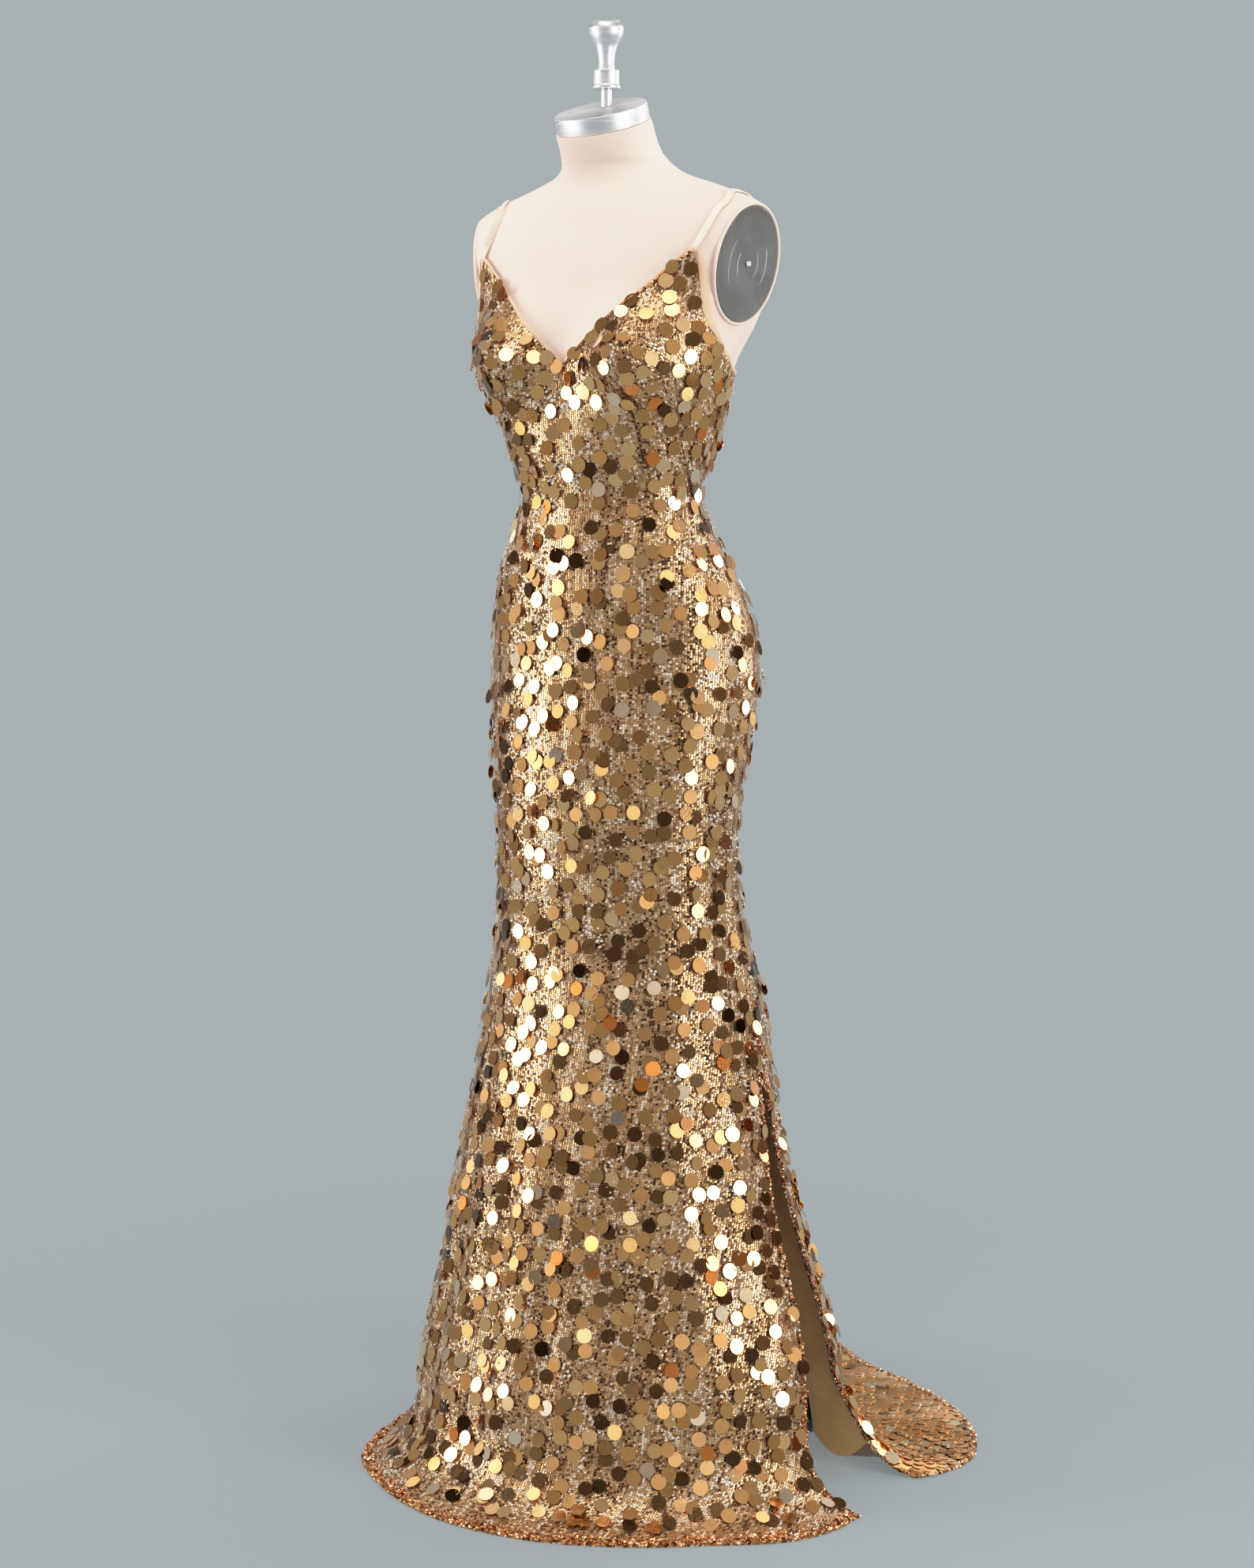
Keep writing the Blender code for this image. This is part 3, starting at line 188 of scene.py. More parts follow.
def flute_depth(angle, height):
    depth = 0.0
    for centre, half_width, deep, fade in FLUTES:
        depth += deep * bell(angle, centre, half_width) * ramp(height, fade, FLUTE_FULL)
    return depth * (FLUTE_FOOT + (1 - FLUTE_FOOT) * ramp(height, 0.0, BREAK))


def slit_flare(angle, height):
    around = ramp(angle, *FLARE_RISES) * ramp(angle, *FLARE_FALLS)
    return SLIT_FLARE * around * ramp(height, *FLARE_LEVELS)


def cup(x, height):
    tall = CUP_ABOVE if height > CUP_Z else CUP_BELOW
    return bell(abs(x), CUP_X, CUP_WIDE) * bell(height, CUP_Z, tall)


def body_skin(angle, height):
    """A point of the skin above the break of the hem."""
    row = section(height)
    across, along = abs(sin(radians(angle))), cos(radians(angle))
    depth = row[FRONT] if along > 0 else row[BACK]
    power = row[SQUARE]
    reach = ((across / row[WIDTH]) ** power + (abs(along) / depth) ** power) ** (-1 / power)
    if height < FLUTED_BELOW:
        reach += slit_flare(angle, height) - flute_depth(angle, height)
    x = reach * sin(radians(angle))
    y = row[CENTRE] - reach * cos(radians(angle))
    x *= 1 + row[TAPER] * (y - row[CENTRE])
    if y < row[CENTRE]:
        y -= CUP_DEPTH * cup(x, height)
    return Vector((x, y, height))


def hem_skin(angle, spread):
    """A point of the cloth that spreads on the floor, from the break (0) to the hem (1)."""
    back = ramp(angle, *TRAIN_LEFT) if angle > 0 else ramp(angle, *TRAIN_RIGHT)
    open_edge = ramp(angle, *OPEN_EDGE_RISES) * ramp(angle, *OPEN_EDGE_FALLS)
    front_level = (1 - spread) ** FRONT_FALL
    back_level = max(0.0, 1 - spread / TRAIN_FLAT) ** TRAIN_FALL
    edge_level = (1 - spread) ** OPEN_EDGE_FALL
    front_run = spread ** FRONT_RUN
    back_run = (max(0.0, spread - TRAIN_CREASE) / (1 - TRAIN_CREASE)) ** TRAIN_RUN
    level = front_level + (back_level - front_level) * back
    run = front_run + (back_run - front_run) * back
    level += (edge_level - level) * open_edge
    run += (spread - run) * open_edge
    base = body_skin(angle, BREAK * level)
    centre = Vector((0.0, section(0.0)[CENTRE], BREAK * level))
    outward = base - centre
    foot = body_skin(angle, 0.0) - Vector((0.0, centre.y, 0.0))
    reach = smooth_row(HEM_REACH, 0, angle)[1] + slit_flare(angle, 0.0)
    point = base + outward.normalized() * (reach - foot.length) * run
    phase = (angle * RIDGE_COUNT / 2) % CENTRE_BACK - CENTRE_BACK / 2
    flat_middle = ramp(spread, *RIPPLE_RISES) * ramp(spread, *RIPPLE_FALLS)
    point.z += CLOTH + TRAIN_RIPPLE * back * bell(phase, 0.0, RIDGE_WIDTH) * flat_middle
    return point


def row_level(row):
    if row <= 0.5:
        return WAIST - SEAM / 2 + (HIP_LEVEL - WAIST + SEAM / 2) * 2 * row
    return HIP_LEVEL + (BREAK - HIP_LEVEL) * (2 * row - 1)


def skirt_skin(angle, row):
    """A point of the skirt: row 0 is the waist seam, 1 the break of the hem, 2 the hem."""
    if row <= 1.0:
        level = row_level(row)
        point = body_skin(angle, level)
        point.z += CLOTH * ramp(level, HEM_STARTS, BREAK)
        return point
    return hem_skin(angle, row - 1.0)


ANGLE_STEP, LEVEL_STEP = 0.2, 0.001     # degrees and metres on either side of a measured slope


def body_normal(angle, height):
    around = body_skin(angle + ANGLE_STEP, height) - body_skin(angle - ANGLE_STEP, height)
    upward = body_skin(angle, height + LEVEL_STEP) - body_skin(angle, height - LEVEL_STEP)
    return around.cross(upward).normalized()


def body_inside(angle, height, depth):
    return body_skin(angle, height) - body_normal(angle, height) * depth


def top_edge(angle):
    """Level of the bodice's top edge."""
    turn = abs(angle)
    if turn >= PEAK_ANGLE + PEAK_HALF:
        return smooth_row(SIDE_EDGE, 0, turn)[1]
    if turn >= PEAK_ANGLE - PEAK_HALF:
        return PEAK_LEVEL
    level = V_POINT
    full = abs(body_skin(PEAK_ANGLE - PEAK_HALF, PEAK_LEVEL).x)
    for _ in range(12):
        level = V_POINT + (PEAK_LEVEL - V_POINT) * abs(body_skin(turn, level).x) / full
    return level


EDGE_SPAN = 2.0         # degrees over which the top edge's slope is measured


def below_edge(angle, width):
    """Level of a line that runs a width below the top edge, square to it."""
    turn = abs(angle)
    before_peak, past_peak = PEAK_ANGLE - PEAK_HALF, PEAK_ANGLE + PEAK_HALF
    if turn >= past_peak:
        ahead, behind = min(turn + EDGE_SPAN, CENTRE_BACK), max(turn - EDGE_SPAN, past_peak)
    elif turn <= before_peak:
        ahead, behind = min(turn + EDGE_SPAN, before_peak), max(turn - EDGE_SPAN, 0.0)
    else:
        return PEAK_LEVEL - width
    here, there = body_skin(behind, top_edge(behind)), body_skin(ahead, top_edge(ahead))
    slope = (there.z - here.z) / hypot(there.x - here.x, there.y - here.y)
    return top_edge(angle) - width * (1 + slope * slope) ** 0.5


def slit_edge(floor_angle, row):
    """Angle of a slit's edge at a row of the skirt; the side seam above the slit."""
    level = row_level(min(row, 1.0))
    share = min(max((SLIT_TOP - level) / (SLIT_TOP - BREAK), 0.0), 1.0)
    return SIDE_SEAM + (floor_angle - SIDE_SEAM) * share ** SLIT_CURVE


# ---- finishes ----
class Wiring:
    """A node tree and short ways to wire it."""

    def __init__(self, tree):
        self.tree = tree

    def node(self, kind, inputs=(), **settings):
        made = self.tree.nodes.new(kind)
        for key, value in settings.items():
            setattr(made, key, value)
        for key, value in dict(inputs).items():
            if isinstance(value, bpy.types.NodeSocket):
                self.tree.links.new(value, made.inputs[key])
            else:
                made.inputs[key].default_value = value
        return made

    def maths(self, operation, a, b=0.0):
        return self.node("ShaderNodeMath", {0: a, 1: b}, operation=operation).outputs[0]

    def vector(self, operation, a, b=(0.0, 0.0, 0.0)):
        return self.node("ShaderNodeVectorMath", {0: a, 1: b}, operation=operation).outputs[0]

    def scaled(self, a, factor):
        made = self.node("ShaderNodeVectorMath", {0: a, "Scale": factor}, operation="SCALE")
        return made.outputs[0]

    def soft(self, value, low, high, to_low=0.0, to_high=1.0):
        made = self.node("ShaderNodeMapRange", {0: value, 1: low, 2: high, 3: to_low, 4: to_high},
                         interpolation_type="SMOOTHSTEP")
        return made.outputs[0]

    def ramp(self, value, stops, kind="LINEAR"):
        made = self.node("ShaderNodeValToRGB", {0: value})
        made.color_ramp.interpolation = kind
        points = made.color_ramp.elements
        while len(points) < len(stops):
            points.new(1.0)
        for point, (place, colour) in zip(points, stops):
            point.position = place
            point.color = (*colour, 1.0)
        return made.outputs[0]

    def mix(self, factor, a, b):
        made = self.node("ShaderNodeMix", {0: factor, 6: a, 7: b}, data_type="RGBA")
        return made.outputs[2]

    def noise(self, where, scale, detail=2.0):
        return self.node("ShaderNodeTexNoise", {"Vector": where, "Scale": scale,
                                                "Detail": detail}).outputs[0]

    def join(self, socket, node, key):
        self.tree.links.new(socket, self.tree.nodes[node].inputs[key])


class Finish(Wiring):
    """The material of a piece, wired round one shader."""

    def __init__(self, name, colour=(0.8, 0.8, 0.8), roughness=0.5, metallic=0.0):
        self.material = bpy.data.materials.new(name)
        self.material.use_nodes = True
        super().__init__(self.material.node_tree)
        self.shader = self.tree.nodes["Principled BSDF"]
        self.set(**{"Base Color": (*colour, 1.0), "Roughness": roughness, "Metallic": metallic})

    def set(self, **values):
        for key, value in values.items():
            self.shader.inputs[key].default_value = value

    def wire(self, name, socket):
        self.tree.links.new(socket, self.shader.inputs[name])

    def uv(self):
        return self.node("ShaderNodeUVMap", uv_map="cloth").outputs[0]

    def place(self):
        return self.node("ShaderNodeTexCoord").outputs["Object"]

    def painted(self, name):
        return self.node("ShaderNodeAttribute", attribute_name=name).outputs["Fac"]

    def bump(self, height, strength, distance=0.0002):
        made = self.node("ShaderNodeBump", {"Height": height, "Strength": strength,
                                            "Distance": distance})
        self.wire("Normal", made.outputs[0])


LANE, STITCH = 0.0034, 0.0030       # spacing of the small sequins across and along their strands
SLANT = 0.30                        # how far a small sequin leans its own way
CURL_ACROSS, CURL_ALONG = 0.40, 0.28        # how far it curls between its middle and its edge
STREAKS, PATCHES = (150.0, 16.0, 1.0), (48.0, 6.0, 1.0)     # fine lighter and darker strands, and broad streaks of painted fold shade and light, a metre


def sequin_ground(name):
    """Strands of small sequins and pearls sewn on net; each cell has its own slant and tone. The
    near-black cells are partly painted dark reflections, and the pale cells are partly painted
    glints.
    """
    cloth = Finish(name, roughness=0.24, metallic=0.9)
    where = cloth.uv()
    split = cloth.node("ShaderNodeSeparateXYZ", {0: where}).outputs
    lane = cloth.maths("DIVIDE", split[0], LANE)
    lane_id = cloth.maths("FLOOR", lane)
    phase = cloth.node("ShaderNodeTexWhiteNoise", {"W": lane_id}, noise_dimensions="1D").outputs[0]
    stitch = cloth.maths("ADD", cloth.maths("DIVIDE", split[1], STITCH), phase)
    across = cloth.maths("SUBTRACT", cloth.maths("FRACT", lane), 0.5)
    along = cloth.maths("SUBTRACT", cloth.maths("FRACT", stitch), 0.5)
    stitch_id = cloth.maths("FLOOR", stitch)
    cell = cloth.node("ShaderNodeCombineXYZ", {0: lane_id, 1: stitch_id}).outputs[0]
    chance = cloth.node("ShaderNodeTexWhiteNoise", {"Vector": cell}, noise_dimensions="3D")
    tone, colour = chance.outputs
    red, green, blue = cloth.node("ShaderNodeSeparateColor", {0: colour}).outputs
    streaks = cloth.noise(cloth.vector("MULTIPLY", where, STREAKS), 1.0, 1.0)
    # broad lighter and darker streaks: painted shade and light of the cloth's folds
    patches = cloth.noise(cloth.vector("MULTIPLY", where, PATCHES), 1.0, 1.0)
    lighter = cloth.maths("ADD", cloth.soft(streaks, 0.34, 0.66, -0.20, 0.20),
                          cloth.soft(patches, 0.36, 0.64, -0.17, 0.17))
    tone = cloth.maths("ADD", tone, lighter)
    normal = cloth.node("ShaderNodeNewGeometry").outputs["Normal"]
    tangent = cloth.node("ShaderNodeTangent", direction_type="UV_MAP", uv_map="cloth").outputs[0]
    tilted = normal
    for way, draw, from_middle, curl in (
            (tangent, red, across, CURL_ACROSS),
            (cloth.vector("CROSS_PRODUCT", normal, tangent), green, along, CURL_ALONG)):
        own = cloth.maths("MULTIPLY", cloth.maths("SUBTRACT", draw, 0.5), SLANT)
        turn = cloth.maths("ADD", own, cloth.maths("MULTIPLY", from_middle, curl))
        tilted = cloth.vector("ADD", tilted, cloth.scaled(way, turn))
    cloth.wire("Normal", cloth.vector("NORMALIZE", tilted))
    # tone to colour: the near-black stops are partly painted dark reflections, the pale top stops
    # partly painted glints
    shade = cloth.ramp(tone, (
        (0.0, (0.070, 0.028, 0.010)), (0.08, (0.30, 0.145, 0.055)), (0.22, (0.60, 0.335, 0.145)),
        (0.50, (0.84, 0.49, 0.235)), (0.74, (0.97, 0.64, 0.36)), (0.96, (1.0, 0.84, 0.66)),
    ), "CONSTANT")
    # a few cells turned red-orange: painted reflection of neighbouring gold sequins
    painted_red_reflection = cloth.maths("MULTIPLY", cloth.maths("GREATER_THAN", blue, 0.96), 0.75)
    shade = cloth.mix(painted_red_reflection, shade, (0.72, 0.22, 0.06, 1.0))
    # pale pearl cells, a little less metallic: their whiteness is partly a painted glint
    pearl_glint_cells = cloth.maths("GREATER_THAN", tone, 0.96)
    from_middle = cloth.maths("SQRT", cloth.maths("ADD", cloth.maths("MULTIPLY", across, across),
                                                  cloth.maths("MULTIPLY", along, along)))
    missing = cloth.maths("MULTIPLY", cloth.maths("GREATER_THAN", blue, 0.84),
                          cloth.maths("LESS_THAN", red, 0.5))
    net = cloth.maths("MAXIMUM", cloth.soft(from_middle, 0.40, 0.54), missing)
    cloth.wire("Base Color", cloth.mix(net, shade, (0.230, 0.115, 0.055, 1.0)))
    solid = cloth.maths("SUBTRACT", 0.92, cloth.maths("MULTIPLY", pearl_glint_cells, 0.72))
    cloth.wire("Metallic", cloth.maths("MULTIPLY", solid, cloth.maths("SUBTRACT", 1.0, net)))
    cloth.wire("Roughness", cloth.maths("ADD", 0.22, cloth.maths("MULTIPLY", net, 0.40)))
    return cloth.material


def paillette_finish(name, low, high):
    """Thin gilt discs, each a little lighter, darker or redder than the next. The near-black and
    cream tones are partly painted reflections of a dark room and of softboxes, and the red tone is
    a painted reflection of neighbouring gold.
    """
    disc = Finish(name, roughness=high, metallic=1.0)
    tone = disc.painted("tone")
    # tone to colour: the near-black and cream stops are partly painted reflections, the red top
    # stop a painted reflection of neighbouring gold
    colour = disc.ramp(tone, (
        (0.0, (0.090, 0.040, 0.016)), (0.14, (0.40, 0.195, 0.066)), (0.30, (0.74, 0.400, 0.150)),
        (0.60, (0.97, 0.54, 0.220)), (0.84, (1.0, 0.65, 0.33)), (0.94, (1.0, 0.85, 0.63)),
        (1.0, (0.92, 0.30, 0.07)),
    ))
    soil = disc.noise(disc.place(), 900.0, 1.0)
    disc.wire("Base Color", disc.mix(disc.soft(soil, 0.5, 0.8, 0.0, 0.15), colour,
                                     (0.50, 0.30, 0.12, 1.0)))
    disc.wire("Roughness", disc.soft(soil, 0.3, 0.8, low, high))
    return disc.material


def small_finish(name, stops, roughness=0.22, metallic=0.9):
    """Small sequins or beads whose colour goes with their tone."""
    thing = Finish(name, roughness=roughness, metallic=metallic)
    tone = thing.painted("tone")
    soil = thing.noise(thing.place(), 700.0, 1.0)
    colour = thing.ramp(tone, stops)
    thing.wire("Base Color", thing.mix(thing.soft(soil, 0.45, 0.8, 0.0, 0.2), colour,
                                       (*stops[0][1], 1.0)))
    thing.wire("Roughness", thing.soft(soil, 0.3, 0.8, roughness - 0.05, roughness + 0.08))
    return thing.material


WEAVE = 1400.0          # satin's warp threads, in radians a metre


def satin(name, colour, dark, roughness=0.42):
    """Smooth satin with a fine warp, a soft sheen and faint wear."""
    cloth = Finish(name, colour, roughness)
    cloth.set(**{"Sheen Weight": 0.35, "Sheen Roughness": 0.4})
    where = cloth.uv()
    threads = cloth.node("ShaderNodeTexWave", {"Vector": where, "Scale": WEAVE / 6.28,
                                               "Distortion": 0.6, "Detail": 1.0},
                         wave_type="BANDS", bands_direction="X").outputs[1]
    worn = cloth.soft(cloth.noise(where, 22.0, 3.0), 0.35, 0.70, 0.0, 0.55)
    cloth.wire("Base Color", cloth.mix(worn, (*colour, 1.0), (*dark, 1.0)))
    cloth.wire("Roughness", cloth.soft(threads, 0.0, 1.0, roughness - 0.05, roughness + 0.08))
    cloth.bump(threads, 0.18)
    return cloth.material


def form_cloth():
    """Fine cream jersey stretched over the form, with its seams drawn in."""
    cloth = Finish("cream_jersey", (0.945, 0.77, 0.65), 0.82)
    cloth.set(**{"Sheen Weight": 0.25, "Sheen Roughness": 0.5})
    where = cloth.uv()
    fine = cloth.node("ShaderNodeMapping", {"Vector": where, "Scale": (1.0, 0.55, 1.0)}).outputs[0]
    knit = cloth.node("ShaderNodeTexVoronoi", {"Vector": fine, "Scale": 1100.0}).outputs[0]
    cloud = cloth.soft(cloth.noise(where, 9.0, 4.0), 0.3, 0.75)
    shade = cloth.mix(cloud, (0.945, 0.755, 0.65, 1.0), (0.93, 0.725, 0.615, 1.0))
    seam = cloth.maths("MULTIPLY", cloth.painted("seam"), 0.16)
    shade = cloth.mix(seam, shade, (0.60, 0.52, 0.45, 1.0))
    cloth.wire("Base Color", cloth.mix(cloth.maths("MULTIPLY", knit, 0.06), shade,
                                       (0.72, 0.64, 0.57, 1.0)))
    cloth.bump(knit, 0.22)
    return cloth.material


def brushed(name, colour, roughness):
    """Lathe-turned metal with fine lines round its axis and faint smudges."""
    metal = Finish(name, colour, roughness, 1.0)
    metal.set(Anisotropic=0.55)
    where = metal.place()
    lines = metal.noise(metal.vector("MULTIPLY", where, (6.0, 6.0, 900.0)), 1.0, 3.0)
    metal.wire("Roughness", metal.soft(lines, 0.3, 0.7, roughness - 0.06, roughness + 0.10))
    smudge = metal.soft(metal.noise(where, 30.0, 3.0), 0.45, 0.75, 0.0, 0.3)
    dull = [part * 0.8 for part in colour]
    metal.wire("Base Color", metal.mix(smudge, (*colour, 1.0), (*dull, 1.0)))
    metal.bump(lines, 0.06)
    return metal.material


def smoked_plastic():
    """Polished smoke-grey plastic of the arm plates."""
    plate = Finish("smoke_grey_plastic", (0.160, 0.156, 0.150), 0.12)
    plate.set(**{"Coat Weight": 0.6, "Coat Roughness": 0.04, "Specular IOR Level": 0.6})
    where = plate.place()
    haze = plate.noise(where, 26.0, 3.0)
    plate.wire("Base Color", plate.mix(plate.soft(haze, 0.35, 0.7), (0.145, 0.140, 0.132, 1.0),
                                       (0.190, 0.186, 0.180, 1.0)))
    plate.wire("Roughness", plate.soft(plate.noise(where, 160.0, 2.0), 0.3, 0.8, 0.10, 0.20))
    plate.bump(haze, 0.05, 0.001)
    return plate.material


def enamel():
    """Gloss black-green enamel over cast iron, dulled where dust lies."""
    colour = (0.016, 0.024, 0.022)
    paint = Finish("black_enamel", colour, 0.16)
    paint.set(**{"Coat Weight": 0.8, "Coat Roughness": 0.05})
    where = paint.place()
    dust = paint.noise(where, 60.0, 4.0)
    paint.wire("Base Color", paint.mix(paint.soft(dust, 0.5, 0.8, 0.0, 0.5), (*colour, 1.0),
                                       (0.06, 0.07, 0.065, 1.0)))
    paint.wire("Roughness", paint.soft(dust, 0.4, 0.8, 0.14, 0.32))
    orange_peel = paint.noise(where, 240.0, 2.0)
    paint.bump(orange_peel, 0.08, 0.0004)
    return paint.material


# ---- building helpers ----
def show(name, data, materials=()):
    """A new object of the scene that shows this data, at the origin."""
    for each in materials:
        data.materials.append(each)
    thing = bpy.data.objects.new(name, data)
    bpy.context.scene.collection.objects.link(thing)
    return thing


def finish_piece(name, mesh, materials, sharp=50.0):
    """Turn a bmesh into a named piece of the dressed form."""
    data = bpy.data.meshes.new(name)
    mesh.to_mesh(data)
    mesh.free()
    data.shade_smooth()
    data.set_sharp_from_angle(angle=radians(sharp))
    thing = show(name, data, materials)
    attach(thing, GOWN)
    return thing


class Cloth:
    """A cloth's outer surface as a fine grid, with its own measures along and across."""

    def __init__(self, place, columns, rows, from_foot=False):
        """place(share across, share down) gives a point of the outside."""
        self.points = np.array([[place(c / columns, r / rows) for c in range(columns + 1)]
                                for r in range(rows + 1)])
        across = np.gradient(self.points, axis=1)
        down = np.gradient(self.points, axis=0)
        normals = np.cross(down, across)
        self.normals = normals / np.linalg.norm(normals, axis=2, keepdims=True)
        steps = np.linalg.norm(np.diff(self.points, axis=1), axis=2)
        middle = columns // 2
        self.u = np.concatenate([np.zeros((rows + 1, 1)), np.cumsum(steps, axis=1)], axis=1)
        self.u -= self.u[:, middle:middle + 1]
        drops = np.linalg.norm(np.diff(self.points, axis=0), axis=2)
        self.down = np.concatenate([np.zeros((1, columns + 1)), np.cumsum(drops, axis=0)])
        self.v = self.down[:, middle].copy()
        if from_foot:
            self.down -= self.down[-1:]

    def size(self):
        """Greatest width, length and area of the cloth."""
        quads = np.cross(np.diff(self.points[:-1], axis=1), np.diff(self.points[:, :-1], axis=0))
        area = np.linalg.norm(quads, axis=2).sum()
        return float((self.u[:, -1] - self.u[:, 0]).max()), float(self.v[-1]), float(area)

    def shell(self, name, thickness, outside, inside):
        """The cloth as a closed shell: its outside, its inside and the edges between."""
        rows, columns = self.points.shape[0] - 1, self.points.shape[1] - 1

        def cell(vert):
            return rows - round((vert.co.y + 0.5) * rows), round((vert.co.x + 0.5) * columns)
        mesh = bmesh.new()
        uv = mesh.loops.layers.uv.new("cloth")
        bmesh.ops.create_grid(mesh, x_segments=columns, y_segments=rows, size=0.5)
        for face in mesh.faces:
            for loop in face.loops:
                row, column = cell(loop.vert)
                loop[uv].uv = (self.u[row, column], self.down[row, column])
        outer = [(vert, cell(vert)) for vert in mesh.verts]
        made = bmesh.ops.extrude_face_region(mesh, geom=mesh.faces[:], use_keep_orig=True)["geom"]
        inner = [(item, cell(item)) for item in made if isinstance(item, bmesh.types.BMVert)]
        for vert, key in outer:
            vert.co = self.points[key]
        for vert, key in inner:
            vert.co = Vector(self.points[key]) - Vector(self.normals[key]) * thickness
            vert.co.z = max(vert.co.z, 0.0)
        for item in made:
            if isinstance(item, bmesh.types.BMFace):
                item.material_index = 1
        bmesh.ops.recalc_face_normals(mesh, faces=mesh.faces[:])
        if mesh.calc_volume(signed=True) < 0:
            bmesh.ops.reverse_faces(mesh, faces=mesh.faces[:])
        return finish_piece(name, mesh, (outside, inside))

    def between(self, rows, columns, down, across):
        """Points inside the grid's cells, by shares down and across them."""
        return (self.points[rows, columns] * (1 - down) * (1 - across)
                + self.points[rows + 1, columns] * down * (1 - across)
                + self.points[rows, columns + 1] * (1 - down) * across
                + self.points[rows + 1, columns + 1] * down * across)

    def spots(self, us, vs):
        """Point, normal and downward direction at places given in the cloth's own measures."""
        rows = np.clip(np.searchsorted(self.v, vs) - 1, 0, len(self.v) - 2)
        t = (vs - self.v[rows]) / (self.v[rows + 1] - self.v[rows])
        lines = self.u[rows] * (1 - t)[:, None] + self.u[rows + 1] * t[:, None]
        last = self.u.shape[1] - 2
        columns = np.array([min(max(np.searchsorted(line, u) - 1, 0), last)
                            for line, u in zip(lines, us)])
        index = np.arange(len(us))
        s = (us - lines[index, columns]) / (lines[index, columns + 1] - lines[index, columns])
        inside = (us >= lines[:, 0]) & (us <= lines[:, -1]) & (vs >= 0) & (vs <= self.v[-1])

        def blend(grid):
            upper = grid[rows, columns] * (1 - s)[:, None] + grid[rows, columns + 1] * s[:, None]
            lower = (grid[rows + 1, columns] * (1 - s)[:, None]
                     + grid[rows + 1, columns + 1] * s[:, None])
            return upper, lower, upper * (1 - t)[:, None] + lower * t[:, None]
        upper, lower, point = blend(self.points)
        normal = blend(self.normals)[2]
        normal /= np.linalg.norm(normal, axis=1, keepdims=True)
        down = lower - upper
        down -= normal * (down * normal).sum(axis=1, keepdims=True)
        down /= np.linalg.norm(down, axis=1, keepdims=True)
        edge = np.minimum(us - lines[:, 0], lines[:, -1] - us)
        return point, normal, down, inside, edge


def turn_about(vectors, axes, angles):
    """Each vector turned about its axis by its angle."""
    c, s = np.cos(angles)[:, None], np.sin(angles)[:, None]
    along = (vectors * axes).sum(axis=1, keepdims=True)
    return vectors * c + np.cross(axes, vectors) * s + axes * along * (1 - c)


def template(build):
    """Corners and faces of a small shape, made once with the mesh operators."""
    mesh = bmesh.new()
    build(mesh)
    bmesh.ops.recalc_face_normals(mesh, faces=mesh.faces[:])
    mesh.verts.index_update()
    corners = np.array([vert.co[:] for vert in mesh.verts])
    faces = [[vert.index for vert in face.verts] for face in mesh.faces]
    mesh.free()
    return corners, faces


def sewn_on(name, shape, centres, axes, sizes, tones, material):
    """One joined mesh that holds the shape at every centre, turned to its axes and sized."""
    corners, faces = shape
    count, each = len(centres), len(corners)
    across, down, out = axes
    local = corners[None, :, :] * sizes[:, None, None]
    placed = (centres[:, None, :] + local[:, :, 0:1] * across[:, None, :]
              + local[:, :, 1:2] * down[:, None, :] + local[:, :, 2:3] * out[:, None, :])
    lengths = np.tile([len(face) for face in faces], count)
    flat = np.array([index for face in faces for index in face])
    loops = (np.arange(count)[:, None] * each + flat[None, :]).ravel()
    starts = np.concatenate([[0], np.cumsum(lengths)[:-1]])
    data = bpy.data.meshes.new(name)
    data.vertices.add(count * each)
    data.vertices.foreach_set("co", placed.ravel().astype(np.float32))
    data.loops.add(len(loops))
    data.loops.foreach_set("vertex_index", loops.astype(np.int32))
    data.polygons.add(len(lengths))
    data.polygons.foreach_set("loop_start", starts.astype(np.int32))
    data.update(calc_edges=True)
    data.shade_flat()
    tone = data.attributes.new("tone", "FLOAT", "POINT")
    tone.data.foreach_set("value", np.repeat(tones, each).astype(np.float32))
    thing = show(name, data, (material,))
    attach(thing, GOWN)
    return thing


# ---- paillettes ----
DISC_RADIUS = 0.0091
DISC_THICK = 0.00035
HOLE_AT, HOLE_RADIUS = 0.72, 0.075      # as shares of the radius


def disc_shape(mesh):
    """A thin round disc of radius 1 with a small hole near its top."""
    bmesh.ops.create_circle(mesh, segments=16, radius=1.0)
    hole = bmesh.ops.create_circle(mesh, segments=5, radius=HOLE_RADIUS)["verts"]
    bmesh.ops.translate(mesh, verts=hole, vec=(0.0, -HOLE_AT, 0.0))
    bmesh.ops.triangle_fill(mesh, edges=mesh.edges[:], use_beauty=True, use_dissolve=False)
    made = bmesh.ops.extrude_face_region(mesh, geom=mesh.faces[:], use_keep_orig=True)["geom"]
    moved = [item for item in made if isinstance(item, bmesh.types.BMVert)]
    bmesh.ops.translate(mesh, verts=moved, vec=(0.0, 0.0, DISC_THICK / DISC_RADIUS))


def small_sequin_shape(mesh):
    """A small six-sided cupped sequin."""
    bmesh.ops.create_cone(mesh, segments=6, radius1=1.0, radius2=0.45, depth=0.3, cap_ends=True)


def bead_shape(mesh):
    """A small faceted bead."""
    bmesh.ops.create_cone(mesh, segments=6, radius1=1.0, radius2=0.0, depth=0.8)
    bmesh.ops.mirror(mesh, geom=mesh.verts[:] + mesh.edges[:] + mesh.faces[:],
                     matrix=Matrix.Translation((0.0, 0.0, -0.4)), merge_dist=0.001, axis="Z")
    bmesh.ops.translate(mesh, verts=mesh.verts[:], vec=(0.0, 0.0, 0.4))


